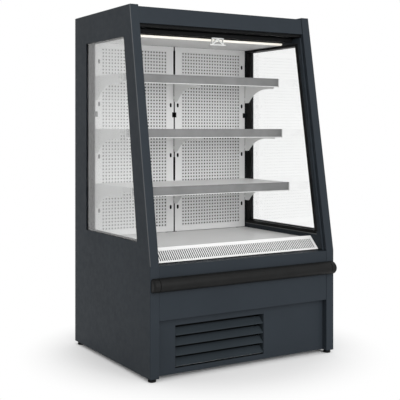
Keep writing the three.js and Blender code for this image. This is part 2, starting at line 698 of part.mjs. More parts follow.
function kickPanel() {
  const { inset, bottom, top, depth } = KICK;
  const face = CASE_DEPTH - inset;
  const rear = face - depth;
  const half = BETWEEN_WALLS;
  const louvreX = [-INNER + LOUVRE.left, -INNER + LOUVRE.left + LOUVRE.width];
  const louvreZ = [LOUVRE.bottom, LOUVRE.top];
  const pan = cut(
    box([-half, half], [rear, face], [bottom, top]),
    box([SHEET - half, half - SHEET], [rear - 1, face - SHEET], [bottom + SHEET, top - SHEET]),
    box(louvreX, [rear, face + 1], louvreZ),
  );
  const cheeks = [
    box([louvreX[0] - SHEET, louvreX[0]], [rear + 1, face - 1], louvreZ),
    box([louvreX[1], louvreX[1] + SHEET], [rear + 1, face - 1], louvreZ),
  ];
  const pitch = (LOUVRE.top - LOUVRE.bottom) / LOUVRE.blades;
  const blades = Array.from({ length: LOUVRE.blades }, (_, i) => {
    const low = LOUVRE.bottom + i * pitch;
    const high = low + pitch - LOUVRE.drop;
    const blade = [
      [face, low],
      [face, low + LOUVRE.thickness],
      [rear + 1 + LOUVRE.thickness, high],
      [rear + 1, high],
      [rear + 1, high - LOUVRE.thickness],
      [face - LOUVRE.thickness, low],
    ];
    return prism('x', blade, [louvreX[0] - 1, louvreX[1] + 1]);
  });
  return join(pan, ...cheeks, ...blades);
}

function foot() {
  return turned([
    [0, 0],
    [FOOT.radius - 2, 0],
    [FOOT.radius, 3],
    [FOOT.radius, 8],
    [FOOT.radius - 5, FOOT.height],
    [FOOT.stem, FOOT.height],
    [FOOT.stem, FOOT.stemTop],
    [0, FOOT.stemTop],
  ], 28);
}

part('front_panel', frontPanel(), ANTHRACITE);
const BUMPER_END = HALF - BUMPER.endInset;
const BUMPER_SEAM = BUMPER_END - BUMPER.capLength;
part('bumper', prism('x', bumperSection(), [-BUMPER_SEAM, BUMPER_SEAM]), BUMPER_BLACK);
for (const { side, label } of SIDES) {
  const cap = prism('x', bumperSection(), span(side, BUMPER_SEAM + GAP, BUMPER_END));
  part(`bumper_cap_${label}`, cap, BUMPER_BLACK);
}
part('kick_panel', kickPanel(), ANTHRACITE);
for (const { side, label } of SIDES) {
  for (const [place, depth] of [['front', CASE_DEPTH - FOOT.front], ['rear', FOOT.rear]]) {
    const mesh = part(`foot_${place}_${label}`, foot(), BLACK_PLASTIC);
    mesh.rotation.x = Math.PI / 2;
    mesh.position.set(side * (HALF - WALL_THICKNESS / 2), fromBack(depth), 0);
  }
}

// ---------------------------------------------------------------- canopy, lamp and night blind

function header() {
  const { bottomDrop, topDrop, inset, sheet, returnDepth } = HEADER;
  const low = CASE_HEIGHT - bottomDrop;
  const high = CASE_HEIGHT - topDrop;
  const roofEdge = ROOF_FRONT + GAP;
  const back = frontDepth(low) - returnDepth - inset;
  const section = [
    [frontDepth(low) - inset, low],
    [frontDepth(high) - inset, high],
    [roofEdge, high],
    [roofEdge, high - sheet],
    [frontDepth(high - sheet) - inset - sheet, high - sheet],
    [frontDepth(low + sheet) - inset - sheet, low + sheet],
    [back, low + sheet],
    [back, low],
  ];
  return prism('x', section, [-BETWEEN_WALLS, BETWEEN_WALLS]);
}

function ceilingLiner() {
  const front = TOP_DEPTH - LAMP.frontInset - LAMP.thickness - GAP;
  const section = [
    [PANEL_FACE + 0.5, CEILING],
    [front, CEILING],
    [front, CEILING + LAMP.height],
    [front - SHEET, CEILING + LAMP.height],
    [front - SHEET, CEILING + SHEET],
    [PANEL_FACE + 0.5, CEILING + SHEET],
  ];
  return prism('x', section, [-LINER + GAP, LINER - GAP]);
}

function ledLamp() {
  const front = TOP_DEPTH - LAMP.frontInset;
  const low = CEILING + 1;
  const high = low + LAMP.height;
  const round = 3;
  const section = [
    [front - LAMP.thickness, low],
    [front - round, low],
    [front, low + round],
    [front, high - round],
    [front - round, high],
    [front - LAMP.thickness, high],
  ];
  return prism('x', section, [-LINER + GAP, LINER - GAP]);
}

function airHoneycomb() {
  const { frontInset, drop, height, rows, columns, wall } = HONEYCOMB;
  const half = LINER - GAP;
  const rear = TOP_DEPTH - LAMP.frontInset + 2;
  const front = TOP_DEPTH - frontInset;
  const low = CASE_HEIGHT - drop;
  const cellX = (2 * half - wall) / columns;
  const cellY = (front - rear - wall) / rows;
  const cells = [];
  for (let row = 0; row < rows; row += 1) {
    for (let column = 0; column < columns; column += 1) {
      const x = -half + wall + column * cellX;
      const depth = rear + wall + row * cellY;
      cells.push(box([x, x + cellX - wall], [depth, depth + cellY - wall],
        [low - 1, low + height + 1]));
    }
  }
  return cut(box([-half, half], [rear, front], [low, low + height]), ...cells);
}

const SOFFIT_HEIGHT = CASE_HEIGHT - SOFFIT.drop;
const BLIND_BAR_TOP = SOFFIT_HEIGHT - GAP; // rolled up, the bar stops under the soffit's rear edge
const ROLLER_DEPTH = TOP_DEPTH - ROLLER.inset;
const ROLLER_HEIGHT = CASE_HEIGHT - ROLLER.drop;
const CHEEK_FACE = BETWEEN_WALLS - SOFFIT.cheek;

function blindHousing() {
  const { sheet, rearInset, cheekTopDrop } = SOFFIT;
  const low = SOFFIT_HEIGHT;
  const headerBottom = CASE_HEIGHT - HEADER.bottomDrop;
  const rear = TOP_DEPTH - rearInset;
  const front = frontDepth(headerBottom) - HEADER.returnDepth - HEADER.inset;
  const section = [
    [rear, low],
    [front, low],
    [front, headerBottom - GAP],
    [front - sheet, headerBottom - GAP],
    [front - sheet, low + sheet],
    [rear, low + sheet],
  ];
  const cheek = [
    [ROOF_FRONT + 1, low],
    [front, low],
    [front, headerBottom - GAP],
    [front - sheet, headerBottom - GAP],
    [frontDepth(CASE_HEIGHT - cheekTopDrop) - 12, CASE_HEIGHT - cheekTopDrop],
    [ROOF_FRONT + 1, CASE_HEIGHT - cheekTopDrop],
  ];
  const pinHole = disc(ROLLER_DEPTH, ROLLER_HEIGHT, ROLLER.pin + GAP);
  const cheeks = SIDES.map(({ side }) => prism(
    'x', cheek, span(side, CHEEK_FACE, BETWEEN_WALLS), [pinHole],
  ));
  return join(prism('x', section, [-BETWEEN_WALLS, BETWEEN_WALLS]), ...cheeks);
}

function blindRoller() {
  const tube = CHEEK_FACE - ROLLER.endGap;
  const end = BETWEEN_WALLS - 1;
  return turned([
    [0, -end],
    [ROLLER.pin, -end],
    [ROLLER.pin, -tube],
    [ROLLER.radius, -tube],
    [ROLLER.radius, tube],
    [ROLLER.pin, tube],
    [ROLLER.pin, end],
    [0, end],
  ]);
}

function blindFabric() {
  const half = CHEEK_FACE - ROLLER.endGap - FABRIC_MARGIN;
  const core = ROLLER.radius + GAP;
  return turned([
    [core, -half],
    [ROLLER.fabricRadius, -half],
    [ROLLER.fabricRadius, half],
    [core, half],
    [core, -half],
  ]);
}

function blindBar() {
  const { inset, width, height, sideGap } = BLIND_BAR;
  const centre = TOP_DEPTH - inset;
  const middle = BLIND_BAR_TOP - height / 2;
  const round = 4;
  const section = [
    [centre - width / 2, middle - height / 2],
    [centre + width / 2 - round, middle - height / 2],
    [centre + width / 2, middle - height / 2 + round],
    [centre + width / 2, middle + height / 2 - round],
    [centre + width / 2 - round, middle + height / 2],
    [centre - width / 2, middle + height / 2],
  ];
  return prism('x', section, [-LINER + sideGap, LINER - sideGap]);
}

// A small lattice handle: a frame with two slanted struts, on a wider foot bar.
function blindHandle() {
  const { width, body, height, thickness, strut, foot: footBar } = HANDLE;
  const top = BLIND_BAR_TOP - BLIND_BAR.height - GAP;
  const centre = TOP_DEPTH - BLIND_BAR.inset;
  const step = top - height + footBar;
  const outline = [
    [-width / 2, top - height],
    [width / 2, top - height],
    [width / 2, step],
    [body / 2, step],
    [body / 2, top],
    [-body / 2, top],
    [-body / 2, step],
    [-width / 2, step],
  ];
  const edge = body / 2 - strut;
  const upper = top - strut;
  const sideHole = (side) => [
    [side * edge, upper],
    [side * edge, step + strut],
    [side * 1.4 * strut, upper],
  ];
  const middleHole = [[0, upper - strut], [edge - strut, step], [strut - edge, step]];
  return prism('y', outline, [centre - thickness / 2, centre + thickness / 2],
    [sideHole(-1), sideHole(1), middleHole]);
}

part('header', header(), ANTHRACITE);
part('ceiling_liner', ceilingLiner(), LIGHT_GREY);
part('led_lamp', ledLamp(), LAMP_WHITE);
part('air_honeycomb', airHoneycomb(), BLACK_PLASTIC);
part('blind_housing', blindHousing(), DARK_GREY);

const roller = new THREE.Group();
roller.position.set(0, fromBack(ROLLER_DEPTH), ROLLER_HEIGHT);
roller.rotation.z = -Math.PI / 2;
fridge.add(roller);
part('blind_roller', blindRoller(), ALUMINIUM, roller);
part('blind_fabric', blindFabric(), FABRIC, roller);
part('blind_bar', blindBar(), DARK_GREY);
part('blind_handle', blindHandle(), WHITE_PLASTIC);

// ---------------------------------------------------------------- machine room and cooling

// A fan about its own Y axis: a hub and flat pitched blades.
function fan({ radius, hub, width, blades }) {
  const core = turned([[0, 0], [hub, 0], [hub, width], [0, width]], 24);
  const reach = radius - hub + 3;
  const paddles = Array.from({ length: blades }, (_, i) => {
    const paddle = new THREE.BoxGeometry(reach, BLADE.thickness, 0.9 * radius);
    paddle.rotateX(BLADE.pitch * 0.9);
    paddle.scale(1, Math.min(1, (width - 2) / (0.9 * radius * Math.sin(BLADE.pitch * 0.9))), 1);
    paddle.translate(hub - 3 + reach / 2, width / 2, 0);
    return paddle.rotateY((2 * Math.PI * i) / blades);
  });
  const swept = join(core, ...paddles);
  const ring = turned([[0, -width], [radius, -width], [radius, 2 * width], [0, 2 * width]], 48);
  return surface(solid(swept).intersect(solid(ring)));
}

// A plate with round fan holes. Each hole has a strut with the motor's boss in its middle.
function fanPlate([x0, x1], [z0, z1], [rear, front], hole, centres, boss) {
  const holes = centres.map(([x, z]) => disc(x, z, hole, 36));
  const plate = prism('y', rectangle([x0, x1], [z0, z1]), [rear, front], holes);
  const struts = centres.flatMap(([x, z]) => [
    box([x - hole - 3, x + hole + 3], [front - SHEET, front + 6],
      [z - FAN_STRUT / 2, z + FAN_STRUT / 2]),
    prism('y', disc(x, z, boss.radius), boss.depths),
  ]);
  return join(plate, ...struts);
}

const LOUVRE_CENTRE = -INNER + LOUVRE.left + LOUVRE.width / 2;
const CONDENSER_FRONT = CASE_DEPTH - CONDENSER.front;
const CONDENSER_REAR = CONDENSER_FRONT - CONDENSER.depth;
const SHROUD_FRONT = CONDENSER_REAR - FAN_SHROUD.gap;
const SHROUD_REAR = SHROUD_FRONT - FAN_SHROUD.sheet;
const COIL_X = [LOUVRE_CENTRE - LOUVRE.width / 2 + 20, LOUVRE_CENTRE + LOUVRE.width / 2 - 20];

function finned([x0, x1], depths, [z0, z1], { fins, finGap, finDepth, foot: footHeight = 0 }) {
  const pitch = (x1 - x0) / (fins + 1);
  const block = box([x0, x1], depths, [z0 + footHeight, z1]);
  const grooves = Array.from({ length: fins }, (_, i) => {
    const x = x0 + (i + 1) * pitch;
    const half = finGap / 2;
    return box([x - half, x + half], [depths[1] - finDepth, depths[1] + 1], [z0 - 1, z1 + 1]);
  });
  const ends = [
    box([x0 - SHEET, x0 + 1], depths, [z0, z1]),
    box([x1 - 1, x1 + SHEET], depths, [z0, z1]),
  ];
  return join(cut(block, ...grooves), ...ends);
}

function controlBox() {
  const { fromSide, width, front, depth, height, chamfer } = CONTROL_BOX;
  const x1 = INNER - fromSide;
  const x0 = x1 - width;
  const z0 = MACHINE_FLOOR;
  const z1 = z0 + height;
  const outline = [
    [x0, z0], [x1, z0], [x1, z1 - chamfer], [x1 - chamfer, z1], [x0 + chamfer, z1],
    [x0, z1 - chamfer],
  ];
  return prism('y', outline, [CASE_DEPTH - front - depth, CASE_DEPTH - front]);
}

function dripTray() {
  const { fromSide, width, rear, length, height } = DRIP_TRAY;
  const x0 = -INNER + fromSide;
  const outer = box([x0, x0 + width], [rear, rear + length],
    [MACHINE_FLOOR, MACHINE_FLOOR + height]);
  const inside = box([x0 + SHEET, x0 + width - SHEET], [rear + SHEET, rear + length - SHEET],
    [MACHINE_FLOOR + SHEET, MACHINE_FLOOR + height + 1]);
  return cut(outer, inside);
}

function compressor() {
  const { radius, height, foot: footRadius } = COMPRESSOR;
  return turned([
    [0, 0],
    [footRadius, 0],
    [footRadius, 4],
    [radius - 4, 8],
    [radius, 22],
    [radius, height / 2 - 5],
    [radius + 3, height / 2],
    [radius + 3, height / 2 + 8],
    [radius, height / 2 + 12],
    [radius - 4, height - 32],
    [radius - 22, height - 10],
    [radius / 4, height],
    [0, height],
  ], 40);
}

part(
  'condenser_coil',
  finned(COIL_X, [CONDENSER_REAR, CONDENSER_FRONT],
    [MACHINE_FLOOR, MACHINE_FLOOR + CONDENSER.height], CONDENSER),
  ALUMINIUM,
);
const CONDENSER_BOSS = [SHROUD_REAR - 14, SHROUD_FRONT + 4];
part(
  'fan_shroud',
  fanPlate(
    COIL_X,
    [MACHINE_FLOOR, MACHINE_FLOOR + CONDENSER.height],
    [SHROUD_REAR, SHROUD_FRONT],
    FAN_SHROUD.hole,
    [[LOUVRE_CENTRE, FAN_SHROUD.fanCentre]],
    { radius: 18, depths: CONDENSER_BOSS },
  ),
  GALVANISED,
);
const condenserFan = part('condenser_fan', fan(CONDENSER_FAN), DARK_GREY);
condenserFan.position.set(LOUVRE_CENTRE, fromBack(CONDENSER_BOSS[0] - GAP), FAN_SHROUD.fanCentre);

part(
  'evaporator',
  finned(
    [-BETWEEN_WALLS + TUB_SIDE_THICKNESS + EVAPORATOR.sideGap,
      BETWEEN_WALLS - TUB_SIDE_THICKNESS - EVAPORATOR.sideGap],
    [EVAPORATOR.rear, EVAPORATOR.rear + EVAPORATOR.depth],
    [TANK_FLOOR + GAP, TANK_FLOOR + EVAPORATOR.height],
    { ...EVAPORATOR, finDepth: EVAPORATOR.depth - 30 },
  ),
  ALUMINIUM,
);
const EVAP_FAN_Z = TANK_FLOOR + EVAP_PLATE.fanHeight;
const EVAP_BOSS = [EVAP_PLATE.depth - 6, EVAP_PLATE.depth + 16];
const evapFanX = (side) => (side * EVAP_PLATE.fanSpacing) / 2;
part(
  'evap_fan_plate',
  fanPlate(
    [-BETWEEN_WALLS + TUB_SIDE_THICKNESS + 1, BETWEEN_WALLS - TUB_SIDE_THICKNESS - 1],
    [TANK_FLOOR + GAP, DECK_HEIGHT - SHEET - GAP],
    [EVAP_PLATE.depth, EVAP_PLATE.depth + SHEET],
    EVAP_PLATE.hole,
    SIDES.map(({ side }) => [evapFanX(side), EVAP_FAN_Z]),
    { radius: 14, depths: EVAP_BOSS },
  ),
  GALVANISED,
);
for (const { side, label } of SIDES) {
  const mesh = part(`evap_fan_${label}`, fan(EVAP_FAN), DARK_GREY);
  mesh.position.set(evapFanX(side), fromBack(EVAP_BOSS[0] - GAP), EVAP_FAN_Z);
}

const compressorMesh = part('compressor', compressor(), COMPRESSOR_BLACK);
compressorMesh.rotation.x = Math.PI / 2;
compressorMesh.position.set(
  INNER - COMPRESSOR.fromSide, fromBack(COMPRESSOR.depth), MACHINE_FLOOR,
);
part('drip_tray', dripTray(), BLACK_PLASTIC);
part('control_box', controlBox(), DARK_GREY);

export default fridge;
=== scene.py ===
"""The looks of an open multideck display fridge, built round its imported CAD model.

Metres, +Z up. The open front faces -Y, and the origin is on the floor under the middle.
A "depth" is measured forwards from the back edges of the side walls.
"""

import math

import bmesh
import bpy
from mathutils import Matrix, Vector


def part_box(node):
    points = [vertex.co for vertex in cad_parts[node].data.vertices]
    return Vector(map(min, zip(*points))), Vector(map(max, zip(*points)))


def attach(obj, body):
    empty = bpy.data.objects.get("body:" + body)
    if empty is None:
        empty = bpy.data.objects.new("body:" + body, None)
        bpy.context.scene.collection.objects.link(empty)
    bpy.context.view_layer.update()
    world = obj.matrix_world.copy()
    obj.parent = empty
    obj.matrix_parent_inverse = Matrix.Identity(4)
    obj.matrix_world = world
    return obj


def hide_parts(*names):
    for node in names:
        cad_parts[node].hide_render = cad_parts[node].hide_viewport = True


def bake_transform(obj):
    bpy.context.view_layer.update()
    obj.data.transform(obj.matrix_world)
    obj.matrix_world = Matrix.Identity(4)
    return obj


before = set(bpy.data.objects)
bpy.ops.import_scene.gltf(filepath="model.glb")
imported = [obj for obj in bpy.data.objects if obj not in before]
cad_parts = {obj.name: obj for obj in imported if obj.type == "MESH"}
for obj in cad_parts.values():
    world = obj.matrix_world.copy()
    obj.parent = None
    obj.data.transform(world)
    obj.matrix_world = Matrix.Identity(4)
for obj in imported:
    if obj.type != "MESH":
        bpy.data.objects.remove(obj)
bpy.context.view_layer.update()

# ---- camera
# The photograph's view: a long lens at chest height, level, a little to the left of the
# fridge's front. The frame sits low, so the lens is shifted and the uprights stay upright.

SENSOR_MM, LENS_MM = 36, 77.555
FRAME_SHIFT = -0.1749
CAMERA_PLACE = (-2.20384, -3.61706, 1.07472)
CAMERA_HEADING = -31.12
FARTHEST_SEEN = 200

camera = bpy.data.objects.new("camera", bpy.data.cameras.new("camera"))
camera.data.sensor_width = SENSOR_MM
camera.data.lens = LENS_MM
camera.data.shift_y = FRAME_SHIFT
camera.data.clip_end = FARTHEST_SEEN
camera.location = CAMERA_PLACE
camera.rotation_euler = (math.radians(90), 0, math.radians(CAMERA_HEADING))
bpy.context.scene.collection.objects.link(camera)
bpy.context.scene.camera = camera
bpy.context.scene.view_settings.view_transform = "Standard"

# ---- studio
# A plain pale room: an even soft sky, and one large soft lamp in front. The floor is matt
# and takes the shadow. A glow seen only directly fades it to white further away; the glow
# is weaker near the fridge and left out under it, which adds painted shade to the shadow.

SKY_STRENGTH = 0.66
SOFTBOX_SIZE = (3.0, 4.2)
SOFTBOX_POWER = 150
SOFTBOX_PLACE = (0.2, -4.9, 2.5)
SOFTBOX_TARGET = (0, 0, 0.8)
FLOOR_HALF = 60
FLOOR_GREY = 0.93
FADE_START, FADE_END = 0.5, 0.92
WHITE_AT_START = 0.36
FOOTPRINT_MIDDLE = (0, 0.02, 0)
FOOTPRINT_HALVES = (("X", 0.51), ("Y", 0.415))
FOOTPRINT_RAMP = 0.04


def add_node(tree, kind, **values):
    """A shader node with its named inputs set."""
    node = tree.nodes.new(kind)
    for name, value in values.items():
        node.inputs[name.replace("_", " ")].default_value = value
    return node


def combine(tree, operation, first, second):
    """Two values joined by a math node."""
    node = tree.nodes.new("ShaderNodeMath")
    node.operation = operation
    tree.links.new(first, node.inputs[0])
    tree.links.new(second, node.inputs[1])
    return node.outputs[0]


def vector_math(tree, operation, vector):
    """A node that works on a vector."""
    node = tree.nodes.new("ShaderNodeVectorMath")
    node.operation = operation
    tree.links.new(vector, node.inputs[0])
    return node


def seen_directly(tree):
    """1 for what the camera sees, by itself, in a reflection or through glass."""
    path = tree.nodes.new("ShaderNodeLightPath")
    seen = path.outputs["Is Camera Ray"]
    for ray in ("Is Glossy Ray", "Is Transmission Ray"):
        seen = combine(tree, "MAXIMUM", seen, path.outputs[ray])
    return seen


def show_mix(tree, amount, first, second, output):
    """Leads a mix of two shaders to an output node, the second by that amount."""
    node = tree.nodes.new("ShaderNodeMixShader")
    for value, socket in zip((amount, first.outputs[0], second.outputs[0]), node.inputs):
        tree.links.new(value, socket)
    tree.links.new(node.outputs[0], tree.nodes[output].inputs["Surface"])


world = bpy.data.worlds.new("studio")
world.use_nodes = True
sky = world.node_tree
soft_light = sky.nodes["Background"]
soft_light.inputs["Color"].default_value = (1, 1, 1, 1)
soft_light.inputs["Strength"].default_value = SKY_STRENGTH
white = add_node(sky, "ShaderNodeBackground", Color=(1, 1, 1, 1), Strength=1.0)
show_mix(sky, seen_directly(sky), soft_light, white, "World Output")
bpy.context.scene.world = world

softbox = bpy.data.objects.new("softbox", bpy.data.lights.new("softbox", "AREA"))
softbox.data.shape = "RECTANGLE"
softbox.data.size, softbox.data.size_y = SOFTBOX_SIZE
softbox.data.energy = SOFTBOX_POWER
softbox.location = SOFTBOX_PLACE
aim = Vector(SOFTBOX_TARGET) - softbox.location
softbox.rotation_euler = aim.to_track_quat("-Z", "Y").to_euler()
bpy.context.scene.collection.objects.link(softbox)

floor_mesh = bmesh.new()
bmesh.ops.create_grid(floor_mesh, x_segments=1, y_segments=1, size=FLOOR_HALF)
floor_data = bpy.data.meshes.new("studio_floor")
floor_mesh.to_mesh(floor_data)
floor_mesh.free()
floor = bpy.data.objects.new("studio_floor", floor_data)
bpy.context.scene.collection.objects.link(floor)

paper = bpy.data.materials.new("studio_paper")
paper.use_nodes = True
tree = paper.node_tree
matt = tree.nodes["Principled BSDF"]
matt.inputs["Base Color"].default_value = (FLOOR_GREY, FLOOR_GREY, FLOOR_GREY, 1)
matt.inputs["Roughness"].default_value = 0.9
matt.inputs["Specular IOR Level"].default_value = 0.1
glow = add_node(tree, "ShaderNodeEmission", Color=(1, 1, 1, 1), Strength=1.0)
where = tree.nodes.new("ShaderNodeTexCoord").outputs["Object"]
fade = add_node(
    tree, "ShaderNodeMapRange", From_Min=FADE_START, From_Max=FADE_END, To_Min=WHITE_AT_START
)
fade.interpolation_type = "SMOOTHSTEP"
tree.links.new(vector_math(tree, "LENGTH", where).outputs["Value"], fade.inputs["Value"])
from_middle = vector_math(tree, "SUBTRACT", where)
from_middle.inputs[1].default_value = FOOTPRINT_MIDDLE
either_way = vector_math(tree, "ABSOLUTE", from_middle.outputs["Vector"])
sides = tree.nodes.new("ShaderNodeSeparateXYZ")
tree.links.new(either_way.outputs["Vector"], sides.inputs["Vector"])
beyond = []
for axis, half in FOOTPRINT_HALVES:
    ramp = add_node(tree, "ShaderNodeMapRange", From_Min=half - FOOTPRINT_RAMP, From_Max=half)
    tree.links.new(sides.outputs[axis], ramp.inputs["Value"])
    beyond.append(ramp.outputs["Result"])
# Less glow near the fridge and none under it: painted shade.
outside = combine(tree, "MAXIMUM", *beyond)
painted_glow = combine(tree, "MULTIPLY", fade.outputs["Result"], outside)
shown = combine(tree, "MULTIPLY", painted_glow, seen_directly(tree))
show_mix(tree, shown, matt, glow, "Material Output")
floor_data.materials.append(paper)

# ---- side walls
# Foam-filled walls of folded sheet steel, 44 mm thick, powder coated in smooth anthracite,
# with a raised lining round the window. The outer edges are folded to a 3 mm radius, and
# the rounding of the slanted one is painted lighter as a painted highlight.

BACK_EDGE = 0.423
FRONT_EDGE = -0.387
KINK_HEIGHT = 0.496
SLANT = 0.17208
OUTLINE_Z = (0.02, 1.63)
OUTLINE_Y = 0.42
OUTER_SKIN, INNER_SKIN = 0.5, 0.456
OUTER_FOLD, INNER_FOLD, WINDOW_FOLD = 0.003, 0.0018, 0.0008
ANTHRACITE = (0.0250, 0.0313, 0.0385)
EDGE_HIGHLIGHT = (0.074, 0.080, 0.086)
HIGHLIGHT_WIDTH = 0.004


def back(depth):
    """The y that lies so far in front of the back edges, or the depth of such a y."""
    return BACK_EDGE - depth


def front_y(height):
    """The y of the front edge of the side walls at a height: upright, then slanted."""
    return FRONT_EDGE + SLANT * max(0.0, height - KINK_HEIGHT)


def new_material(name):
    """A material, its node tree, its shader and the coordinates that its patterns read."""
    material = bpy.data.materials.new(name)
    material.use_nodes = True
    tree = material.node_tree
    place = tree.nodes.new("ShaderNodeTexCoord").outputs["Object"]
    return material, tree, tree.nodes["Principled BSDF"], place


def noise(tree, place, scale, detail=2.0):
    """A smooth random pattern from 0 to 1, with about scale blobs to the metre."""
    node = add_node(tree, "ShaderNodeTexNoise", Scale=scale, Detail=detail)
    tree.links.new(place, node.inputs["Vector"])
    return node.outputs["Fac"]


def spread(tree, value, low, high, start=0.3, end=0.7):
    """The value, stretched from start..end to low..high."""
    node = add_node(
        tree, "ShaderNodeMapRange", From_Min=start, From_Max=end, To_Min=low, To_Max=high
    )
    tree.links.new(value, node.inputs["Value"])
    return node.outputs["Result"]


def tint(tree, amount, first, second):
    """A colour between two, by an amount from 0 to 1."""
    node = tree.nodes.new("ShaderNodeMix")
    node.data_type = "RGBA"
    ends = [socket for socket in node.inputs if socket.type == "RGBA"]
    ends[0].default_value = (*first, 1)
    ends[1].default_value = (*second, 1)
    tree.links.new(amount, node.inputs[0])
    return [socket for socket in node.outputs if socket.type == "RGBA"][0]


def raise_surface(tree, shader, height, distance, strength=1.0):
    """Bumps on the surface, so many metres high."""
    node = add_node(tree, "ShaderNodeBump", Strength=strength, Distance=distance)
    tree.links.new(height, node.inputs["Height"])
    tree.links.new(node.outputs["Normal"], shader.inputs["Normal"])


def powder_coat(name, colour, roughness, shift=0.08, gloss=0.25, peel=0.00003):
    """Sprayed and baked paint: faint clouds in its colour and a fine orange peel."""
    material, tree, shader, place = new_material(name)
    darker = tuple(c * (1 - shift) for c in colour)
    lighter = tuple(c * (1 + shift) for c in colour)
    clouds = spread(tree, noise(tree, place, 2.6, 4.0), 0, 1)
    tree.links.new(tint(tree, clouds, darker, lighter), shader.inputs["Base Color"])
    patches = noise(tree, place, 45.0, 3.0)
    uneven = spread(tree, patches, roughness - 0.05, roughness + 0.05)
    tree.links.new(uneven, shader.inputs["Roughness"])
    raise_surface(tree, shader, noise(tree, place, 650.0, 2.0), peel, 0.5)
    shader.inputs["Specular IOR Level"].default_value = gloss
    return material


def cad_mesh(node):
    """A merged copy of a CAD node, its flat triangles joined into larger faces."""
    bm = bmesh.new()
    bm.from_mesh(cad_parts[node].data)
    bmesh.ops.remove_doubles(bm, verts=bm.verts, dist=2e-6)
    bmesh.ops.dissolve_limit(bm, angle_limit=0.005, verts=bm.verts, edges=bm.edges)
    return bm


def corner_edges(bm, wanted=lambda middle: True, angle=35):
    """The edges that turn a corner and whose middle is wanted."""
    found = []
    for edge in bm.edges:
        if edge.is_manifold and abs(edge.calc_face_angle_signed(0)) > math.radians(angle):
            if wanted((edge.verts[0].co + edge.verts[1].co) / 2):
                found.append(edge)
    return found


def round_edges(bm, edges, radius, segments=2):
    """Rounds those edges of a mesh."""
    bmesh.ops.bevel(
        bm,
        geom=edges,
        offset=radius,
        segments=segments,
        profile=0.5,
        affect="EDGES",
        clamp_overlap=True,
        material=-1,
    )


def make_piece(name, bm, body, material, nodes=()):
    """Turns a finished bmesh into a piece that rides on a body and stands for CAD nodes."""
    mesh = bpy.data.meshes.new(name)
    bm.to_mesh(mesh)
    bm.free()
    mesh.shade_smooth()
    mesh.set_sharp_from_angle(angle=math.radians(38))
    mesh.materials.append(material)
    piece = bpy.data.objects.new(name, mesh)
    bpy.context.scene.collection.objects.link(piece)
    even = piece.modifiers.new("even_shading", "WEIGHTED_NORMAL")
    even.keep_sharp = True
    if body:
        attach(piece, body)
    if nodes:
        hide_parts(*nodes)
    return piece


def on_outline(middle):
    """On the outline of a side wall, and not round its window."""
    ends = not OUTLINE_Z[0] <= middle.z <= OUTLINE_Z[1] or middle.y > OUTLINE_Y
    return ends or abs(middle.y - front_y(middle.z)) < 0.003


anthracite_paint = powder_coat("anthracite_paint", ANTHRACITE, 0.5, gloss=0.08)
# A lighter copy of the anthracite, for a painted highlight on the slanted front edge.
edge_highlight_paint = powder_coat("edge_painted_highlight", EDGE_HIGHLIGHT, 0.42, shift=0.2, gloss=0.2)

for side in ("left", "right"):
    node = f"side_wall_{side}"
    bm = cad_mesh(node)
    outer = corner_edges(bm, lambda m: abs(m.x) > OUTER_SKIN - 1e-4 and on_outline(m))
    round_edges(bm, outer, OUTER_FOLD, 3)
    inner = corner_edges(bm, lambda m: abs(abs(m.x) - INNER_SKIN) < 1e-4 and on_outline(m))
    round_edges(bm, inner, INNER_FOLD)
    round_edges(bm, corner_edges(bm, angle=50), WINDOW_FOLD)
    # Rounding faces on the slanted front edge get the lighter paint: a painted highlight.
    for face in bm.faces:
        spot = face.calc_center_median()
        turned_forwards = min(abs(face.normal.x), -face.normal.y) > 0.15
        at_edge = abs(spot.x) > OUTER_SKIN - HIGHLIGHT_WIDTH
        if turned_forwards and at_edge and spot.z > KINK_HEIGHT + HIGHLIGHT_WIDTH:
            face.material_index = 1
    slot = "anthracite_paint"
    shell = make_piece(f"{node}_shell", bm, "cabinet", anthracite_paint, [node])
    shell.data.materials.append(edge_highlight_paint)

# ---- window frames
# Moulded black frames that clamp the glass from inside and hide its edge, with a broad
# flange on the lining. A black strip closes the joint under each of them, and a light grey
# line under the strip is a painted highlight of a ledge catching the light.

SILL_DEPTHS = (0.133, 0.745)
SILL_STRIP = (0.5710, 0.5809)
SILL_HIGHLIGHT = (0.5668, 0.5708)
SILL_X = (0.4468, 0.4476)


def moulded_plastic(name, colour, roughness, grain=900.0, depth=0.00005, gloss=0.3):
    """Moulded or extruded plastic: one colour, a fine grain and slightly uneven gloss."""
    material, tree, shader, place = new_material(name)
    clouds = spread(tree, noise(tree, place, 14.0, 3.0), 0, 1)
    lighter = tuple(c * 1.22 + 0.001 for c in colour)
    tree.links.new(tint(tree, clouds, colour, lighter), shader.inputs["Base Color"])
    patches = noise(tree, place, 80.0, 2.0)
    uneven = spread(tree, patches, roughness - 0.06, roughness + 0.06)
    tree.links.new(uneven, shader.inputs["Roughness"])
    raise_surface(tree, shader, noise(tree, place, grain, 2.0), depth, 0.6)
    shader.inputs["Specular IOR Level"].default_value = gloss
    return material


def softened(node, body, material, radius=0.0008, segments=2):
    """A CAD node's own shape with its sharp edges rounded."""
    bm = cad_mesh(node)
    round_edges(bm, corner_edges(bm), radius, segments)
    return make_piece(f"{node}_finished", bm, body, material, [node])


def extruded(points, x_ends):
    """A bar along X whose section is given as (depth, height) points."""
    bm = bmesh.new()
    corners = [bm.verts.new((x_ends[0], back(depth), height)) for depth, height in points]
    face = bm.faces.new(corners)
    grown = bmesh.ops.extrude_face_region(bm, geom=[face])["geom"]
    moved = [item for item in grown if isinstance(item, bmesh.types.BMVert)]
    bmesh.ops.translate(bm, vec=(x_ends[1] - x_ends[0], 0, 0), verts=moved)
    bmesh.ops.recalc_face_normals(bm, faces=bm.faces)
    return bm


def oblong(depths, heights):
    """The corners of a rectangle between two depths and two heights."""
    (one, other), (start, end) = depths, heights
    return [(one, start), (other, start), (other, end), (one, end)]


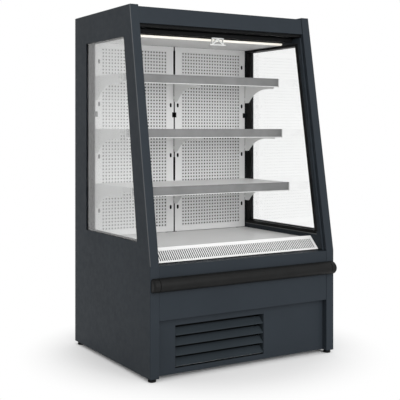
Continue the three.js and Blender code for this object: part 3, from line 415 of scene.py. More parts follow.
black_plastic = moulded_plastic("black_plastic", (0.0035, 0.0036, 0.0038), 0.5, gloss=0.12)
# A light grey for the line under each sill strip: a painted highlight.
sill_highlight_grey = moulded_plastic("sill_highlight_grey", (0.085, 0.09, 0.09), 0.45)

for side, sign in (("left", -1), ("right", 1)):
    node = f"window_frame_{side}"
    softened(node, "cabinet", black_plastic, radius=0.0009)
    for name, heights, material in (
        (f"{node}_sill_strip", SILL_STRIP, black_plastic),
        (f"{node}_sill_painted_highlight", SILL_HIGHLIGHT, sill_highlight_grey),
    ):
        bm = extruded(oblong(SILL_DEPTHS, heights), sorted(sign * x for x in SILL_X))
        round_edges(bm, corner_edges(bm), 0.0002, 1)
        make_piece(name, bm, "cabinet", material, [node])

# ---- double glazing
# Two 4 mm panes of clear float glass on a dark spacer bar, 22 mm thick in all. The sealed
# edge of the unit shows as a band inside the rear edge of the outer skin.

PANE = 0.004
SPACER_WIDTH = 0.0092
SPACER_GAP = 0.0001

window_glass, tree, shader, place = new_material("window_glass")
shader.inputs["Base Color"].default_value = (0.996, 1.0, 0.998, 1)
shader.inputs["Transmission Weight"].default_value = 1.0
shader.inputs["IOR"].default_value = 1.38
film = noise(tree, place, 5.0, 3.0)
tree.links.new(spread(tree, film, 0.0, 0.012), shader.inputs["Roughness"])

spacer_bar, tree, shader, place = new_material("spacer_bar")
shader.inputs["Metallic"].default_value = 0.3
shader.inputs["Specular IOR Level"].default_value = 0.3
dots = spread(tree, noise(tree, place, 700.0, 1.0), 0, 1)
dotted = tint(tree, dots, (0.008, 0.008, 0.009), (0.016, 0.016, 0.017))
tree.links.new(dotted, shader.inputs["Base Color"])
tree.links.new(spread(tree, dots, 0.4, 0.6, 0, 1), shader.inputs["Roughness"])


def glazing_layer(node, outer, start, end):
    """The solid of a glazing unit with its outer face at x = start, its inner at x = end."""
    bm = cad_mesh(node)
    for vert in bm.verts:
        vert.co.x = start if abs(vert.co.x - outer) < 1e-5 else end
    return bm


for side, sign in (("left", -1), ("right", 1)):
    node = f"side_glazing_{side}"
    low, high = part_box(node)
    outer, inner = (low.x, high.x) if sign < 0 else (high.x, low.x)
    for pane, start, end in (
        ("outer", outer, outer - sign * PANE),
        ("inner", inner + sign * PANE, inner),
    ):
        bm = glazing_layer(node, outer, start, end)
        round_edges(bm, corner_edges(bm), 0.0004, 1)
        name = f"{node}_{pane}_pane"
        make_piece(name, bm, "cabinet", window_glass, [node])
    rim = sign * (PANE + SPACER_GAP)
    bm = glazing_layer(node, outer, outer - rim, inner + rim)
    sides = [face for face in bm.faces if abs(face.normal.x) > 0.9]
    bmesh.ops.inset_individual(
        bm, faces=sides, thickness=SPACER_WIDTH, use_even_offset=True
    )
    bmesh.ops.delete(bm, geom=sides, context="FACES_ONLY")
    bmesh.ops.bridge_loops(bm, edges=[edge for edge in bm.edges if edge.is_boundary])
    bmesh.ops.recalc_face_normals(bm, faces=bm.faces)
    round_edges(bm, corner_edges(bm), 0.0005, 1)
    make_piece(f"{node}_spacer", bm, "cabinet", spacer_bar, [node])

# ---- insulated body
# The foamed tub, back wall and roof between the side walls, in sheet steel coated light
# grey. The sheets are joined by blind rivets along their edges and a strip down the back.

BACK_FACE = 0.421
RIVET_RADIUS, RIVET_HEIGHT = 0.0034, 0.0014
RIVET_COLUMNS = (-0.44, 0.44)
RIVETS_START, RIVET_PITCH, RIVETS = 0.372, 0.11, 12
EDGE_RIVETS_X, EDGE_RIVETS_Z = (-0.30, -0.15, 0.15, 0.30), (0.36, 1.61)
STRIP_SIZE, STRIP_HEIGHT = (0.044, 0.0009, 1.27), 0.985
SUNK = 0.0002


def studs(places, radius, height, facing, segments=10):
    """Low domed heads of rivets or screws, sunk a little into the surface behind them."""
    bm = bmesh.new()
    turn = Vector((0, 0, 1)).rotation_difference(Vector(facing)).to_matrix().to_4x4()
    for place in places:
        centre = Vector(place) + Vector(facing) * (height / 2 - SUNK)
        bmesh.ops.create_cone(
            bm,
            cap_ends=True,
            segments=segments,
            radius1=radius,
            radius2=radius * 0.62,
            depth=height,
            matrix=Matrix.Translation(centre) @ turn,
        )
    return bm


def plate(size, centre, radius=0.0003):
    """A rectangular plate with softened edges."""
    bm = bmesh.new()
    bmesh.ops.create_cube(bm, size=1)
    bmesh.ops.scale(bm, vec=size, verts=bm.verts)
    bmesh.ops.translate(bm, vec=centre, verts=bm.verts)
    round_edges(bm, corner_edges(bm), radius, 1)
    return bm


light_grey_paint = powder_coat(
    "light_grey_paint", (0.82, 0.82, 0.815), 0.5, shift=0.015, gloss=0.2
)
softened("insulated_body", "cabinet", light_grey_paint, radius=0.0012)
heights = [RIVETS_START + RIVET_PITCH * step for step in range(RIVETS)]
places = [(x, BACK_FACE, z) for x in RIVET_COLUMNS for z in heights]
places += [(x, BACK_FACE, z) for x in EDGE_RIVETS_X for z in EDGE_RIVETS_Z]
strip_centre = (0, BACK_FACE + STRIP_SIZE[1] / 2 - SUNK, STRIP_HEIGHT)
for name, bm in (
    ("back_rivets", studs(places, RIVET_RADIUS, RIVET_HEIGHT, (0, 1, 0))),
    ("back_cover_strip", plate(STRIP_SIZE, strip_centre)),
):
    make_piece(name, bm, "cabinet", light_grey_paint, ["insulated_body"])

# ---- base frame and back cover
# Galvanised steel pressings: a shallow base tray between the side walls, and a slotted
# cover over the machine room at the back, held by screws.

COVER_FACE = 0.411
SCREW_RADIUS, SCREW_HEIGHT = 0.0042, 0.0022
SCREW_COLUMNS, SCREW_ROWS = (-0.435, -0.145, 0.145, 0.435), (0.027, 0.330)


def galvanised(name, colour=(0.52, 0.535, 0.54)):
    """Hot-dip galvanised sheet: grey zinc crystals of differing gloss."""
    material, tree, shader, place = new_material(name)
    shader.inputs["Metallic"].default_value = 0.85
    cells = add_node(tree, "ShaderNodeTexVoronoi", Scale=85.0)
    tree.links.new(place, cells.inputs["Vector"])
    crystal = tree.nodes.new("ShaderNodeSeparateColor")
    tree.links.new(cells.outputs["Color"], crystal.inputs["Color"])
    one = crystal.outputs["Red"]
    darker = tuple(c * 0.82 for c in colour)
    tree.links.new(tint(tree, one, darker, colour), shader.inputs["Base Color"])
    tree.links.new(spread(tree, one, 0.34, 0.56, 0, 1), shader.inputs["Roughness"])
    raise_surface(tree, shader, cells.outputs["Distance"], 0.00004, 0.5)
    return material


zinc = galvanised("galvanised_sheet")
softened("base_frame", "cabinet", zinc)
softened("back_cover", "cabinet", zinc, radius=0.0005)
corners = [(x, COVER_FACE, z) for x in SCREW_COLUMNS for z in SCREW_ROWS]
bm = studs(corners, SCREW_RADIUS, SCREW_HEIGHT, (0, 1, 0), 12)
make_piece("back_cover_screws", bm, "cabinet", zinc, ["back_cover"])

# ---- levelling feet
# Black plastic feet on threaded steel stems, which screw up into the side walls. A hexagon
# nut above each pad locks it at its height.

PAD = [
    (0, 0),
    (0.0160, 0),
    (0.0176, 0.0008),
    (0.0180, 0.0022),
    (0.0180, 0.0075),
    (0.0172, 0.0092),
    (0.0110, 0.0112),
    (0.0090, 0.0112),
    (0, 0.0112),
]
STEM_FOOT = 0.0105
THREAD_START, THREAD_PITCH, THREADS = 0.0112, 0.00175, 22
THREAD_CREST, THREAD_ROOT, STEM_END = 0.0060, 0.0053, 0.0052
NUT_RADIUS, NUT_DEPTH, NUT_HEIGHT = 0.0098, 0.0034, 0.0130


def turned(profile, steps=32):
    """A solid turned about Z from a profile of (radius, height) points."""
    bm = bmesh.new()
    verts = [bm.verts.new((radius, 0, height)) for radius, height in profile]
    edges = [bm.edges.new(pair) for pair in zip(verts, verts[1:])]
    bmesh.ops.spin(
        bm,
        geom=verts + edges,
        cent=(0, 0, 0),
        axis=(0, 0, 1),
        angle=math.tau,
        steps=steps,
        use_merge=True,
    )
    bmesh.ops.remove_doubles(bm, verts=bm.verts, dist=1e-6)
    bmesh.ops.recalc_face_normals(bm, faces=bm.faces)
    return bm


stem = [(0, STEM_FOOT), (STEM_END, STEM_FOOT)]
for turn in range(THREADS):
    stem.append((THREAD_CREST, THREAD_START + THREAD_PITCH * turn))
    stem.append((THREAD_ROOT, THREAD_START + THREAD_PITCH * (turn + 0.5)))
stem.append((0, stem[-1][1]))
for end in ("front", "rear"):
    for side in ("left", "right"):
        node = f"foot_{end}_{side}"
        low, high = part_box(node)
        centre = ((low.x + high.x) / 2, (low.y + high.y) / 2, 0)
        for name, profile, slot, material, steps in (
            (f"{node}_pad", PAD, "black_plastic", black_plastic, 36),
            (f"{node}_stem", stem, "galvanised_sheet", zinc, 20),
        ):
            bm = turned(profile, steps)
            bmesh.ops.translate(bm, vec=centre, verts=bm.verts)
            make_piece(name, bm, f"levelling_{node}", material, [node])
        bm = bmesh.new()
        bmesh.ops.create_cone(
            bm,
            cap_ends=True,
            segments=6,
            radius1=NUT_RADIUS,
            radius2=NUT_RADIUS,
            depth=NUT_DEPTH,
            matrix=Matrix.Translation((*centre[:2], NUT_HEIGHT)),
        )
        round_edges(bm, corner_edges(bm), 0.0005)
        make_piece(f"{node}_nut", bm, f"levelling_{node}", zinc, [node])

# ---- front panel
# A folded steel panel, powder coated as the walls are, that closes the foamed front below
# the opening. Its top is folded back under the air grille.

bm = cad_mesh("front_panel")
round_edges(bm, corner_edges(bm), 0.0016, 3)
name = "front_panel_sheet"
make_piece(name, bm, "cabinet", anthracite_paint, ["front_panel"])

# ---- bumper
# A half-round black vinyl bumper clipped over a carrier along the whole front, with a
# moulded cap pushed onto each end.

SEAM = 0.0016
CAP_ROUNDING = 0.011
CAP_FRONT = 0.812

bumper_vinyl = moulded_plastic("bumper_vinyl", (0.0078, 0.008, 0.008), 0.48, 500.0, gloss=0.12)
bm = cad_mesh("bumper")
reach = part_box("bumper")[1].x
for vert in bm.verts:
    if abs(vert.co.x) > reach - 1e-4:
        vert.co.x -= math.copysign(SEAM, vert.co.x)
round_edges(bm, corner_edges(bm), 0.001)
make_piece("bumper_finished", bm, "cabinet", bumper_vinyl, ["bumper"])
for side in ("left", "right"):
    node = f"bumper_cap_{side}"
    bm = cad_mesh(node)
    low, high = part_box(node)
    end = low.x if side == "left" else high.x
    rim = corner_edges(bm, lambda m: abs(m.x - end) < 1e-5 and m.y < back(CAP_FRONT))
    round_edges(bm, rim, CAP_ROUNDING, 5)
    round_edges(bm, corner_edges(bm, angle=60), 0.0008)
    make_piece(f"{node}_moulding", bm, "cabinet", bumper_vinyl, [node])

# ---- kick panel
# The removable lower panel of powder coated steel. Its air intake is a louvre of slanted
# blades of the same sheet, which stand between two gussets over a sill. The blades and
# gussets are painted a little lighter than the panel as painted light, and the sill near
# black as painted shade.

LOUVRE_X = (-0.362, 0.107)
LOUVRE_Z = (0.040, 0.226)
KICK_FACE = 0.781
KICK_FLANGE = 0.013
KICK_SHEET = 0.0015
UPRIGHT = Matrix.Rotation(math.radians(90), 3, "X")


def thicken(bm, outwards, thickness):
    """Turns an open sheet's widest face outwards and gives the sheet its thickness."""
    bmesh.ops.recalc_face_normals(bm, faces=bm.faces)
    widest = max(bm.faces, key=lambda face: face.calc_area())
    if widest.normal.dot(Vector(outwards)) < 0:
        bmesh.ops.reverse_faces(bm, faces=bm.faces)
    bmesh.ops.solidify(bm, geom=bm.faces[:], thickness=thickness)


def within(face, x_ends, z_ends):
    """True for a face whose middle lies inside a rectangle."""
    spot = face.calc_center_median()
    return x_ends[0] < spot.x < x_ends[1] and z_ends[0] < spot.z < z_ends[1]


low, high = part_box("kick_panel")
columns = (low.x, *LOUVRE_X, high.x)
rows = (low.z, *LOUVRE_Z, high.z)
bm = bmesh.new()
bmesh.ops.create_grid(bm, x_segments=3, y_segments=3, size=1.5)
bmesh.ops.rotate(bm, matrix=UPRIGHT, verts=bm.verts)
for vert in bm.verts:
    column, row = round(vert.co.x + 1.5), round(vert.co.z + 1.5)
    vert.co = (columns[column], back(KICK_FACE), rows[row])
intake = [face for face in bm.faces if within(face, LOUVRE_X, LOUVRE_Z)]
bmesh.ops.delete(bm, geom=intake, context="FACES_ONLY")
rims = [edge for edge in bm.edges if edge.is_boundary]
lip = bmesh.ops.extrude_edge_only(bm, edges=rims)["geom"]
moved = [item for item in lip if isinstance(item, bmesh.types.BMVert)]
bmesh.ops.translate(bm, vec=(0, KICK_FLANGE, 0), verts=moved)
thicken(bm, (0, -1, 0), KICK_SHEET)
round_edges(bm, corner_edges(bm), 0.0006)
make_piece("kick_panel_sheet", bm, "kick", anthracite_paint, ["kick_panel"])

BLADES = 4
BLADE_START = 0.0075
BLADE_GAP = 0.0185
BLADE_TOP, BLADE_UNDERSIDE = 0.0035, 0.0015
BLADE_FRONT, BLADE_LIP = KICK_FACE - 0.0008, KICK_FACE - 0.0026
BLADE_REAR = KICK_FACE - 0.030
BLADE_CLEARANCE = 0.0028
LINING_FRONT = KICK_FACE - 0.0022
LINING_INSET = 0.0016
SILL_TOP, SILL_OVERHANG, SILL_CLEARANCE = 0.0028, 0.006, 0.0029

# Near black for the sill: painted shade.
sill_shade_black = powder_coat("louvre_shade_black", (0.006, 0.0062, 0.0066), 0.6, gloss=0.05)
# A lighter copy of the anthracite for blades and gussets: painted light.
blade_light_copy = powder_coat("louvre_light_copy", (0.029, 0.0365, 0.043), 0.55, gloss=0.06)


def louvre_part(name, section, x_ends, material, radius, segments):
    """One bar of the louvre."""
    bm = extruded(section, x_ends)
    round_edges(bm, corner_edges(bm), radius, segments)
    make_piece(name, bm, "kick", material, ["kick_panel"])


blade_x = (LOUVRE_X[0] + BLADE_CLEARANCE, LOUVRE_X[1] - BLADE_CLEARANCE)
pitch = (LOUVRE_Z[1] - LOUVRE_Z[0] - BLADE_START) / BLADES
for index in range(BLADES):
    bottom = LOUVRE_Z[0] + BLADE_START + index * pitch
    top = bottom + pitch - BLADE_GAP
    section = (
        (BLADE_FRONT, bottom),
        (BLADE_FRONT, bottom + BLADE_TOP),
        (BLADE_REAR, top + BLADE_TOP),
        (BLADE_REAR, top + BLADE_UNDERSIDE),
        (BLADE_LIP, bottom + BLADE_UNDERSIDE),
        (BLADE_LIP, bottom),
    )
    louvre_part(f"louvre_blade_{index + 1}", section, blade_x, blade_light_copy, 0.0004, 2)

sill_heights = (LOUVRE_Z[0] + LINING_INSET, LOUVRE_Z[0] + SILL_TOP)
section = oblong((LINING_FRONT, BLADE_REAR - SILL_OVERHANG), sill_heights)
sill_x = (LOUVRE_X[0] + SILL_CLEARANCE, LOUVRE_X[1] - SILL_CLEARANCE)
louvre_part("louvre_sill", section, sill_x, sill_shade_black, 0.0003, 1)

gusset_heights = (LOUVRE_Z[0] + LINING_INSET, LOUVRE_Z[1] - LINING_INSET)
section = oblong((LINING_FRONT, BLADE_REAR), gusset_heights)
for side, start, inwards in (("left", LOUVRE_X[0], 1), ("right", LOUVRE_X[1], -1)):
    x_ends = sorted(start + inwards * inset for inset in (LINING_INSET, BLADE_CLEARANCE))
    louvre_part(f"louvre_gusset_{side}", section, x_ends, blade_light_copy, 0.0003, 1)

# ---- header
# The slanted fascia above the opening: one powder coated sheet, folded back over the roof
# and fixed between the side walls.

bm = cad_mesh("header")
round_edges(bm, corner_edges(bm), 0.0011, 3)
make_piece("header_sheet", bm, "cabinet", anthracite_paint, ["header"])

# ---- canopy
# Under the roof from the back forwards: the light grey liner, the lamp, the honeycomb that
# blows the air curtain, and the dark housing of the night blind.

HONEYCOMB_CELLS = (112, 8)
HONEYCOMB_WALL = 0.00045

softened("ceiling_liner", "cabinet", light_grey_paint, radius=0.0006)
dark_grey = moulded_plastic("dark_grey_plastic", (0.0035, 0.0038, 0.0043), 0.55, gloss=0.1)
softened("blind_housing", "cabinet", dark_grey, radius=0.0006)

lamp_diffuser, tree, shader, place = new_material("lamp_diffuser")
shader.inputs["Base Color"].default_value = (0.9, 0.89, 0.86, 1)
shader.inputs["Emission Color"].default_value = (1.0, 0.94, 0.80, 1)
shader.inputs["Roughness"].default_value = 0.35
brightness = spread(tree, noise(tree, place, 30.0), 0.54, 0.62)
tree.links.new(brightness, shader.inputs["Emission Strength"])
softened("led_lamp", "cabinet", lamp_diffuser, radius=0.002, segments=3)


def pierce(bm, border):
    """Opens every face of a sheet, leaving a border of that width round each opening."""
    cells = bm.faces[:]
    bmesh.ops.inset_individual(bm, faces=cells, thickness=border, use_even_offset=True)
    bmesh.ops.delete(bm, geom=cells, context="FACES_ONLY")


low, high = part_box("air_honeycomb")
bm = bmesh.new()
across, along = HONEYCOMB_CELLS
bmesh.ops.create_grid(bm, x_segments=across, y_segments=along, size=0.5)
bmesh.ops.scale(bm, vec=(high.x - low.x, high.y - low.y, 1), verts=bm.verts)
bmesh.ops.translate(bm, vec=(0, (low.y + high.y) / 2, low.z), verts=bm.verts)
pierce(bm, HONEYCOMB_WALL)
thicken(bm, (0, 0, -1), high.z - low.z)
name = "air_honeycomb_cells"
make_piece(name, bm, "cabinet", black_plastic, ["air_honeycomb"])

# ---- night blind
# A spring-loaded aluminium tube with a woven blind wound on it, ending in a weighted bar
# with a moulded lattice handle.

CLOTH_WIDTH = 0.86
CLOTH_THICKNESS = 0.0004
TURNS = 9
STEPS_PER_TURN = 40
ROLL_OUTSIDE, ROLL_INSIDE = 0.0221, 0.0165
DROP_OFFSET = 0.0228
BAR_OVERLAP = 0.0005
THREADS_SCALE = 260.0

aluminium, tree, shader, place = new_material("bare_aluminium")
shader.inputs["Metallic"].default_value = 1.0
grains = noise(tree, place, 260.0, 3.0)
grained = tint(tree, spread(tree, grains, 0, 1), (0.58, 0.585, 0.59), (0.70, 0.705, 0.71))
tree.links.new(grained, shader.inputs["Base Color"])
tree.links.new(spread(tree, grains, 0.28, 0.44), shader.inputs["Roughness"])
softened("blind_roller", "night_blind_roller", aluminium, radius=0.0006)

blind_cloth, tree, shader, place = new_material("blind_cloth")
threads = []
for direction in ("X", "Z"):
    wave = add_node(tree, "ShaderNodeTexWave", Scale=THREADS_SCALE, Distortion=0.6)
    wave.bands_direction = direction
    tree.links.new(place, wave.inputs["Vector"])
    threads.append(wave.outputs["Fac"])
weave = combine(tree, "MULTIPLY", *threads)
woven = tint(tree, weave, (0.42, 0.43, 0.44), (0.62, 0.63, 0.64))
tree.links.new(woven, shader.inputs["Base Color"])
tree.links.new(spread(tree, noise(tree, place, 30.0), 0.55, 0.75), shader.inputs["Roughness"])
raise_surface(tree, shader, weave, 0.0001, 0.6)

low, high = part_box("blind_roller")
axle = (low + high) / 2
bm = bmesh.new()
bmesh.ops.create_grid(bm, x_segments=8, y_segments=TURNS * STEPS_PER_TURN, size=0.5)
for vert in bm.verts:
    share = vert.co.y + 0.5
    radius = ROLL_OUTSIDE + (ROLL_INSIDE - ROLL_OUTSIDE) * share
    angle = share * TURNS * math.tau
    reach = Vector((0, math.cos(angle), math.sin(angle))) * radius
    vert.co = axle + reach + Vector((vert.co.x * CLOTH_WIDTH, 0, 0))
bmesh.ops.recalc_face_normals(bm, faces=bm.faces)
bmesh.ops.solidify(bm, geom=bm.faces[:], thickness=CLOTH_THICKNESS)
roll = make_piece(
    "blind_cloth_roll", bm, "night_blind_roller", blind_cloth, ["blind_fabric"]
)

drop_top = axle.z
drop_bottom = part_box("blind_bar")[1].z - BAR_OVERLAP
tangent = axle.y + DROP_OFFSET
bm = bmesh.new()
bmesh.ops.create_grid(bm, x_segments=8, y_segments=48, size=0.5)
for vert in bm.verts:
    height = drop_bottom + (vert.co.y + 0.5) * (drop_top - drop_bottom)
    vert.co = (vert.co.x * CLOTH_WIDTH, tangent, height)
bmesh.ops.recalc_face_normals(bm, faces=bm.faces)
bmesh.ops.solidify(bm, geom=bm.faces[:], thickness=CLOTH_THICKNESS)
drop = make_piece("blind_cloth_drop", bm, None, blind_cloth, ["blind_fabric"])
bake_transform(drop)
softened("blind_bar", "night_blind_bar", dark_grey, radius=0.0012)
handle_plastic = moulded_plastic("handle_plastic", (0.62, 0.63, 0.62), 0.3)
softened("blind_handle", "night_blind_bar", handle_plastic, radius=0.0006)

# ---- rear panels
# Two bays of perforated sheet steel that let the cold air through, coated light grey. The
# pierced fields are painted a little darker than the margins, and a near black sheet lies
# in the duct behind: both are painted shade in the holes. The shelf brackets hook through
# slots between them.

SHELF_TOPS = (1.33965, 1.07991, 0.81103)
OVALS = [(x, top - 0.136) for top in SHELF_TOPS for x in (0.021, 0.422)]
OVALS.append((0.422, SHELF_TOPS[0] + 0.075))
OVAL_REACH = (0.006, 0.010)
OVAL_GROWTH = 0.3
SQUARE_HEIGHT = 1.15365
SQUARE_REACH = 0.0115
SQUARE_EDGES = ((0.008, 0.014, 1), (0.42, 0.438, -1))
SQUARE_GROWTH = 0.002

HOLE_PITCH = 0.0165
HOLE_SIZE = 0.0078
HOLE_CORNER = 0.29
HOLE_AREA = 8e-5
COLUMNS, ROWS = 22, 55
FIELD_LEFT = 0.0447
FIELD_TOP = 1.4825
FIELD_WIDTH, FIELD_HEIGHT = COLUMNS * HOLE_PITCH, ROWS * HOLE_PITCH

LINING_SIZE = (0.892, 0.001, 0.985)
LINING_DEPTH, LINING_HEIGHT = 0.063, 1.0385

rear_paint = powder_coat("rear_panel_paint", (0.84, 0.84, 0.84), 0.5, shift=0.01, gloss=0.2)
# A darker copy of the panel paint for the pierced fields: painted shade.
pierced_shade_paint = powder_coat(
    "pierced_field_shaded", (0.77, 0.77, 0.77), 0.5, shift=0.01, gloss=0.2
)


def enlarge_openings(bm, sign):
    """Opens out the oval and square holes of a panel round their own middles."""
    for vert in bm.verts:
        x, z = abs(vert.co.x), vert.co.z
        for centre_x, centre_z in OVALS:
            if abs(x - centre_x) < OVAL_REACH[0] and abs(z - centre_z) < OVAL_REACH[1]:
                vert.co.x += OVAL_GROWTH * (vert.co.x - sign * centre_x)
                vert.co.z += OVAL_GROWTH * (z - centre_z)
        if abs(z - SQUARE_HEIGHT) < SQUARE_REACH:
            vert.co.z += math.copysign(SQUARE_GROWTH, z - SQUARE_HEIGHT)
            for start, end, outwards in SQUARE_EDGES:
                if start < x < end:
                    vert.co.x += outwards * sign * SQUARE_GROWTH


for side, sign in (("left", -1), ("right", 1)):
    node = f"rear_panel_{side}"
    low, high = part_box(node)
    x_ends = sorted((sign * FIELD_LEFT, sign * (FIELD_LEFT + FIELD_WIDTH)))
    z_ends = (FIELD_TOP - FIELD_HEIGHT, FIELD_TOP)
    bm = bmesh.new()
    bm.from_mesh(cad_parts[node].data)
    bmesh.ops.remove_doubles(bm, verts=bm.verts, dist=2e-6)
    unseen = [face for face in bm.faces if face.normal.y > -0.9]
    bmesh.ops.delete(bm, geom=unseen, context="FACES")
    enlarge_openings(bm, sign)
    for axis, ends in ((Vector((1, 0, 0)), x_ends), (Vector((0, 0, 1)), z_ends)):
        for value in ends:
            geometry = bm.verts[:] + bm.edges[:] + bm.faces[:]
            bmesh.ops.bisect_plane(
                bm, geom=geometry, plane_co=axis * value, plane_no=axis, dist=1e-6
            )
    field = [face for face in bm.faces if within(face, x_ends, z_ends)]
    bmesh.ops.delete(bm, geom=field, context="FACES")
    bmesh.ops.solidify(bm, geom=bm.faces[:], thickness=high.y - low.y)
    make_piece(f"{node}_margins", bm, "cabinet", rear_paint, [node])

    bm = bmesh.new()
    bmesh.ops.create_grid(bm, x_segments=COLUMNS, y_segments=ROWS, size=0.5)
    bmesh.ops.scale(bm, vec=(FIELD_WIDTH, FIELD_HEIGHT, 1), verts=bm.verts)
    bmesh.ops.rotate(bm, matrix=UPRIGHT, verts=bm.verts)
    centre = Vector((sum(x_ends) / 2, low.y, sum(z_ends) / 2))
    bmesh.ops.translate(bm, vec=centre, verts=bm.verts)
    cells = bm.faces[:]
    border = (HOLE_PITCH - HOLE_SIZE) / 2
    bmesh.ops.inset_individual(bm, faces=cells, thickness=border, use_even_offset=True)
    bmesh.ops.bevel(
        bm,
        geom=[vert for face in cells for vert in face.verts],
        offset=HOLE_SIZE * HOLE_CORNER,
        segments=1,
        profile=0.5,
        affect="VERTICES",
        clamp_overlap=False,
        material=-1,
    )
    holes = [f for f in bm.faces if len(f.verts) == 8 and f.calc_area() < HOLE_AREA]
    bmesh.ops.delete(bm, geom=holes, context="FACES_ONLY")
    thicken(bm, (0, -1, 0), high.y - low.y)
    name = f"{node}_perforation"
    make_piece(name, bm, "cabinet", pierced_shade_paint, [node])

# A near black sheet behind the holes: painted shade.
duct_shade_black = moulded_plastic("duct_shade_black", (0.002, 0.002, 0.002), 0.7, gloss=0.02)
bm = plate(LINING_SIZE, (0, back(LINING_DEPTH), LINING_HEIGHT))
make_piece("duct_lining", bm, "cabinet", duct_shade_black, ["insulated_body"])

# ---- uprights
# Roll-formed steel posts behind the panels, slotted for the hooks of the brackets, and
# screwed to the back wall. They are painted near black as painted shade behind the panels.

# Near black paint on the posts: painted shade.
upright_shade_black = powder_coat("upright_shade_black", (0.006, 0.0062, 0.0066), 0.5, gloss=0.1)
for place_name in ("left", "centre", "right"):
    node = f"upright_{place_name}"
    softened(node, "cabinet", upright_shade_black, radius=0.0004)

# ---- shelves
# Each shelf is a folded steel tray on three pressed brackets that hook into the uprights,
# with an extruded price rail clipped to its front edge and a cap on each end of the rail.
# The rail's lower edge is painted light grey as a painted highlight.

RAIL_CAP = 0.005
CAP_SEAM = 0.0001
LIP_OUT, LIP_HEIGHT = 0.002, 0.0045
LIP_SLOPE = 0.001
LABEL_STEP, LABEL_TOP, LABEL_EDGE = 0.001, 0.0028, 0.0036
STRIP_OVERLAP = 0.0002

white_paint = powder_coat("white_paint", (0.90, 0.90, 0.895), 0.42, shift=0.01, gloss=0.3)
shelf_paint = powder_coat("shelf_paint", (0.85, 0.85, 0.845), 0.42, shift=0.015, gloss=0.3)
rail_plastic = moulded_plastic("rail_plastic", (0.182, 0.184, 0.184), 0.35)
# Painted highlight: the light grey of the rail's lower edge strip.
rail_highlight = moulded_plastic("rail_highlight", (0.62, 0.622, 0.62), 0.3)
rail_cap = moulded_plastic("rail_cap", (0.48, 0.485, 0.48), 0.35)

for level in ("top", "middle", "bottom"):
    for place_name in ("left", "centre", "right"):
        node = f"bracket_{level}_{place_name}"
        softened(node, "cabinet", white_paint, radius=0.0005)
    node = f"shelf_tray_{level}"
    softened(node, f"shelf_{level}", shelf_paint, radius=0.0007)

for level in ("top", "middle", "bottom"):
    node = f"price_rail_{level}"
    low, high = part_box(node)
    rear, front = back(high.y), back(low.y)
    top, bottom = high.z, low.z
    face, lip = front - LIP_OUT, bottom + LIP_HEIGHT
    label_strip = [
        (rear, top),
        (face + LABEL_STEP, top),
        (face + LABEL_STEP, top - LABEL_TOP),
        (face, top - LABEL_EDGE),
        (face, lip),
        (rear, lip),
    ]
    highlight_strip = [
        (rear, lip - STRIP_OVERLAP),
        (face, lip - STRIP_OVERLAP),
        (front, lip - LIP_SLOPE),
        (front, bottom),
        (rear, bottom),
    ]
    whole = oblong((rear, front), (top, bottom))
    inner = (low.x + RAIL_CAP, high.x - RAIL_CAP)
    for name, section, x_ends, material, radius in (
        (f"{node}_strip", label_strip, inner, rail_plastic, 0.0003),
        (f"{node}_edge", highlight_strip, inner, rail_highlight, 0.0004),
        (f"{node}_cap_left", whole, (low.x, inner[0] - CAP_SEAM), rail_cap, 0.0012),
        (f"{node}_cap_right", whole, (inner[1] + CAP_SEAM, high.x), rail_cap, 0.0012),
    ):
        bm = extruded(section, x_ends)
        round_edges(bm, corner_edges(bm), radius)
        make_piece(name, bm, f"shelf_{level}", material, [node])

# ---- deck and return grille
# The lowest display surface is a lift-out white pan. In front of it lies the return air
# grille, a slotted slanted strip that ends in a lip over the front panel. Under its slots
# are a dark grey sheet and a black one, and under its lip a black strip: all three are
# painted shade.

FOLD, LIP = Vector((0.699, 0.5575)), Vector((0.758, 0.501))
SLOT_PITCH = 0.0107
SLOT_ENDS = (0.22, 0.86)
SLOT_LONGER = (0.0, 0.05)
SLOT_WIDER = 0.1
SLOT_END_REACH = 0.06
SLOTS_HALF = 0.4385
INWARDS = Vector((-0.6917, -0.7222))
SCREEN_BELOW, SCREEN_SHEET = 0.006, 0.001
SCREEN_X = (-0.443, 0.443)
LIP_SHADE_STRIP = [
    (0.7563, 0.4946),
    (0.7612, 0.4946),
    (0.7618, 0.4955),
    (0.7600, 0.4985),
    (0.7563, 0.4985),
]
SHADE_STRIP_X = (-0.4462, 0.4462)

softened("deck_pan", "deck", white_paint, radius=0.0009)

slope = LIP - FOLD
bm = cad_mesh("return_grille")
for vert in bm.verts:
    spot = Vector((back(vert.co.y), vert.co.z)) - FOLD
    share = spot.dot(slope) / slope.length_squared
    for end, longer in zip(SLOT_ENDS, SLOT_LONGER):
        if abs(share - end) < SLOT_END_REACH and abs(vert.co.x) < SLOTS_HALF:
            centre = round(vert.co.x / SLOT_PITCH) * SLOT_PITCH
            vert.co.x += (vert.co.x - centre) * SLOT_WIDER
            vert.co.y -= longer * slope.x
            vert.co.z += longer * slope.y
round_edges(bm, corner_edges(bm), 0.0004, 1)
make_piece("return_grille_sheet", bm, "grille", white_paint, ["return_grille"])

# Near black and dark grey under the grille, and the strip under its lip: painted shade.
grille_shade_black = moulded_plastic("grille_shade_black", (0.002, 0.002, 0.002), 0.6, gloss=0.05)
guide_shade_grey = powder_coat("air_guide_shade", (0.10, 0.10, 0.10), 0.5, shift=0.03, gloss=0.2)
for name, first, last, material in (
    ("return_air_guide", 0.20, 0.64, guide_shade_grey),
    ("return_air_screen", 0.642, 0.93, grille_shade_black),
):
    upper, lower = (FOLD.lerp(LIP, at) + INWARDS * SCREEN_BELOW for at in (first, last))
    sheet = INWARDS * SCREEN_SHEET
    bm = extruded([upper, lower, lower + sheet, upper + sheet], SCREEN_X)
    round_edges(bm, corner_edges(bm), 0.0003, 1)
    make_piece(name, bm, "grille", material, ["return_grille"])

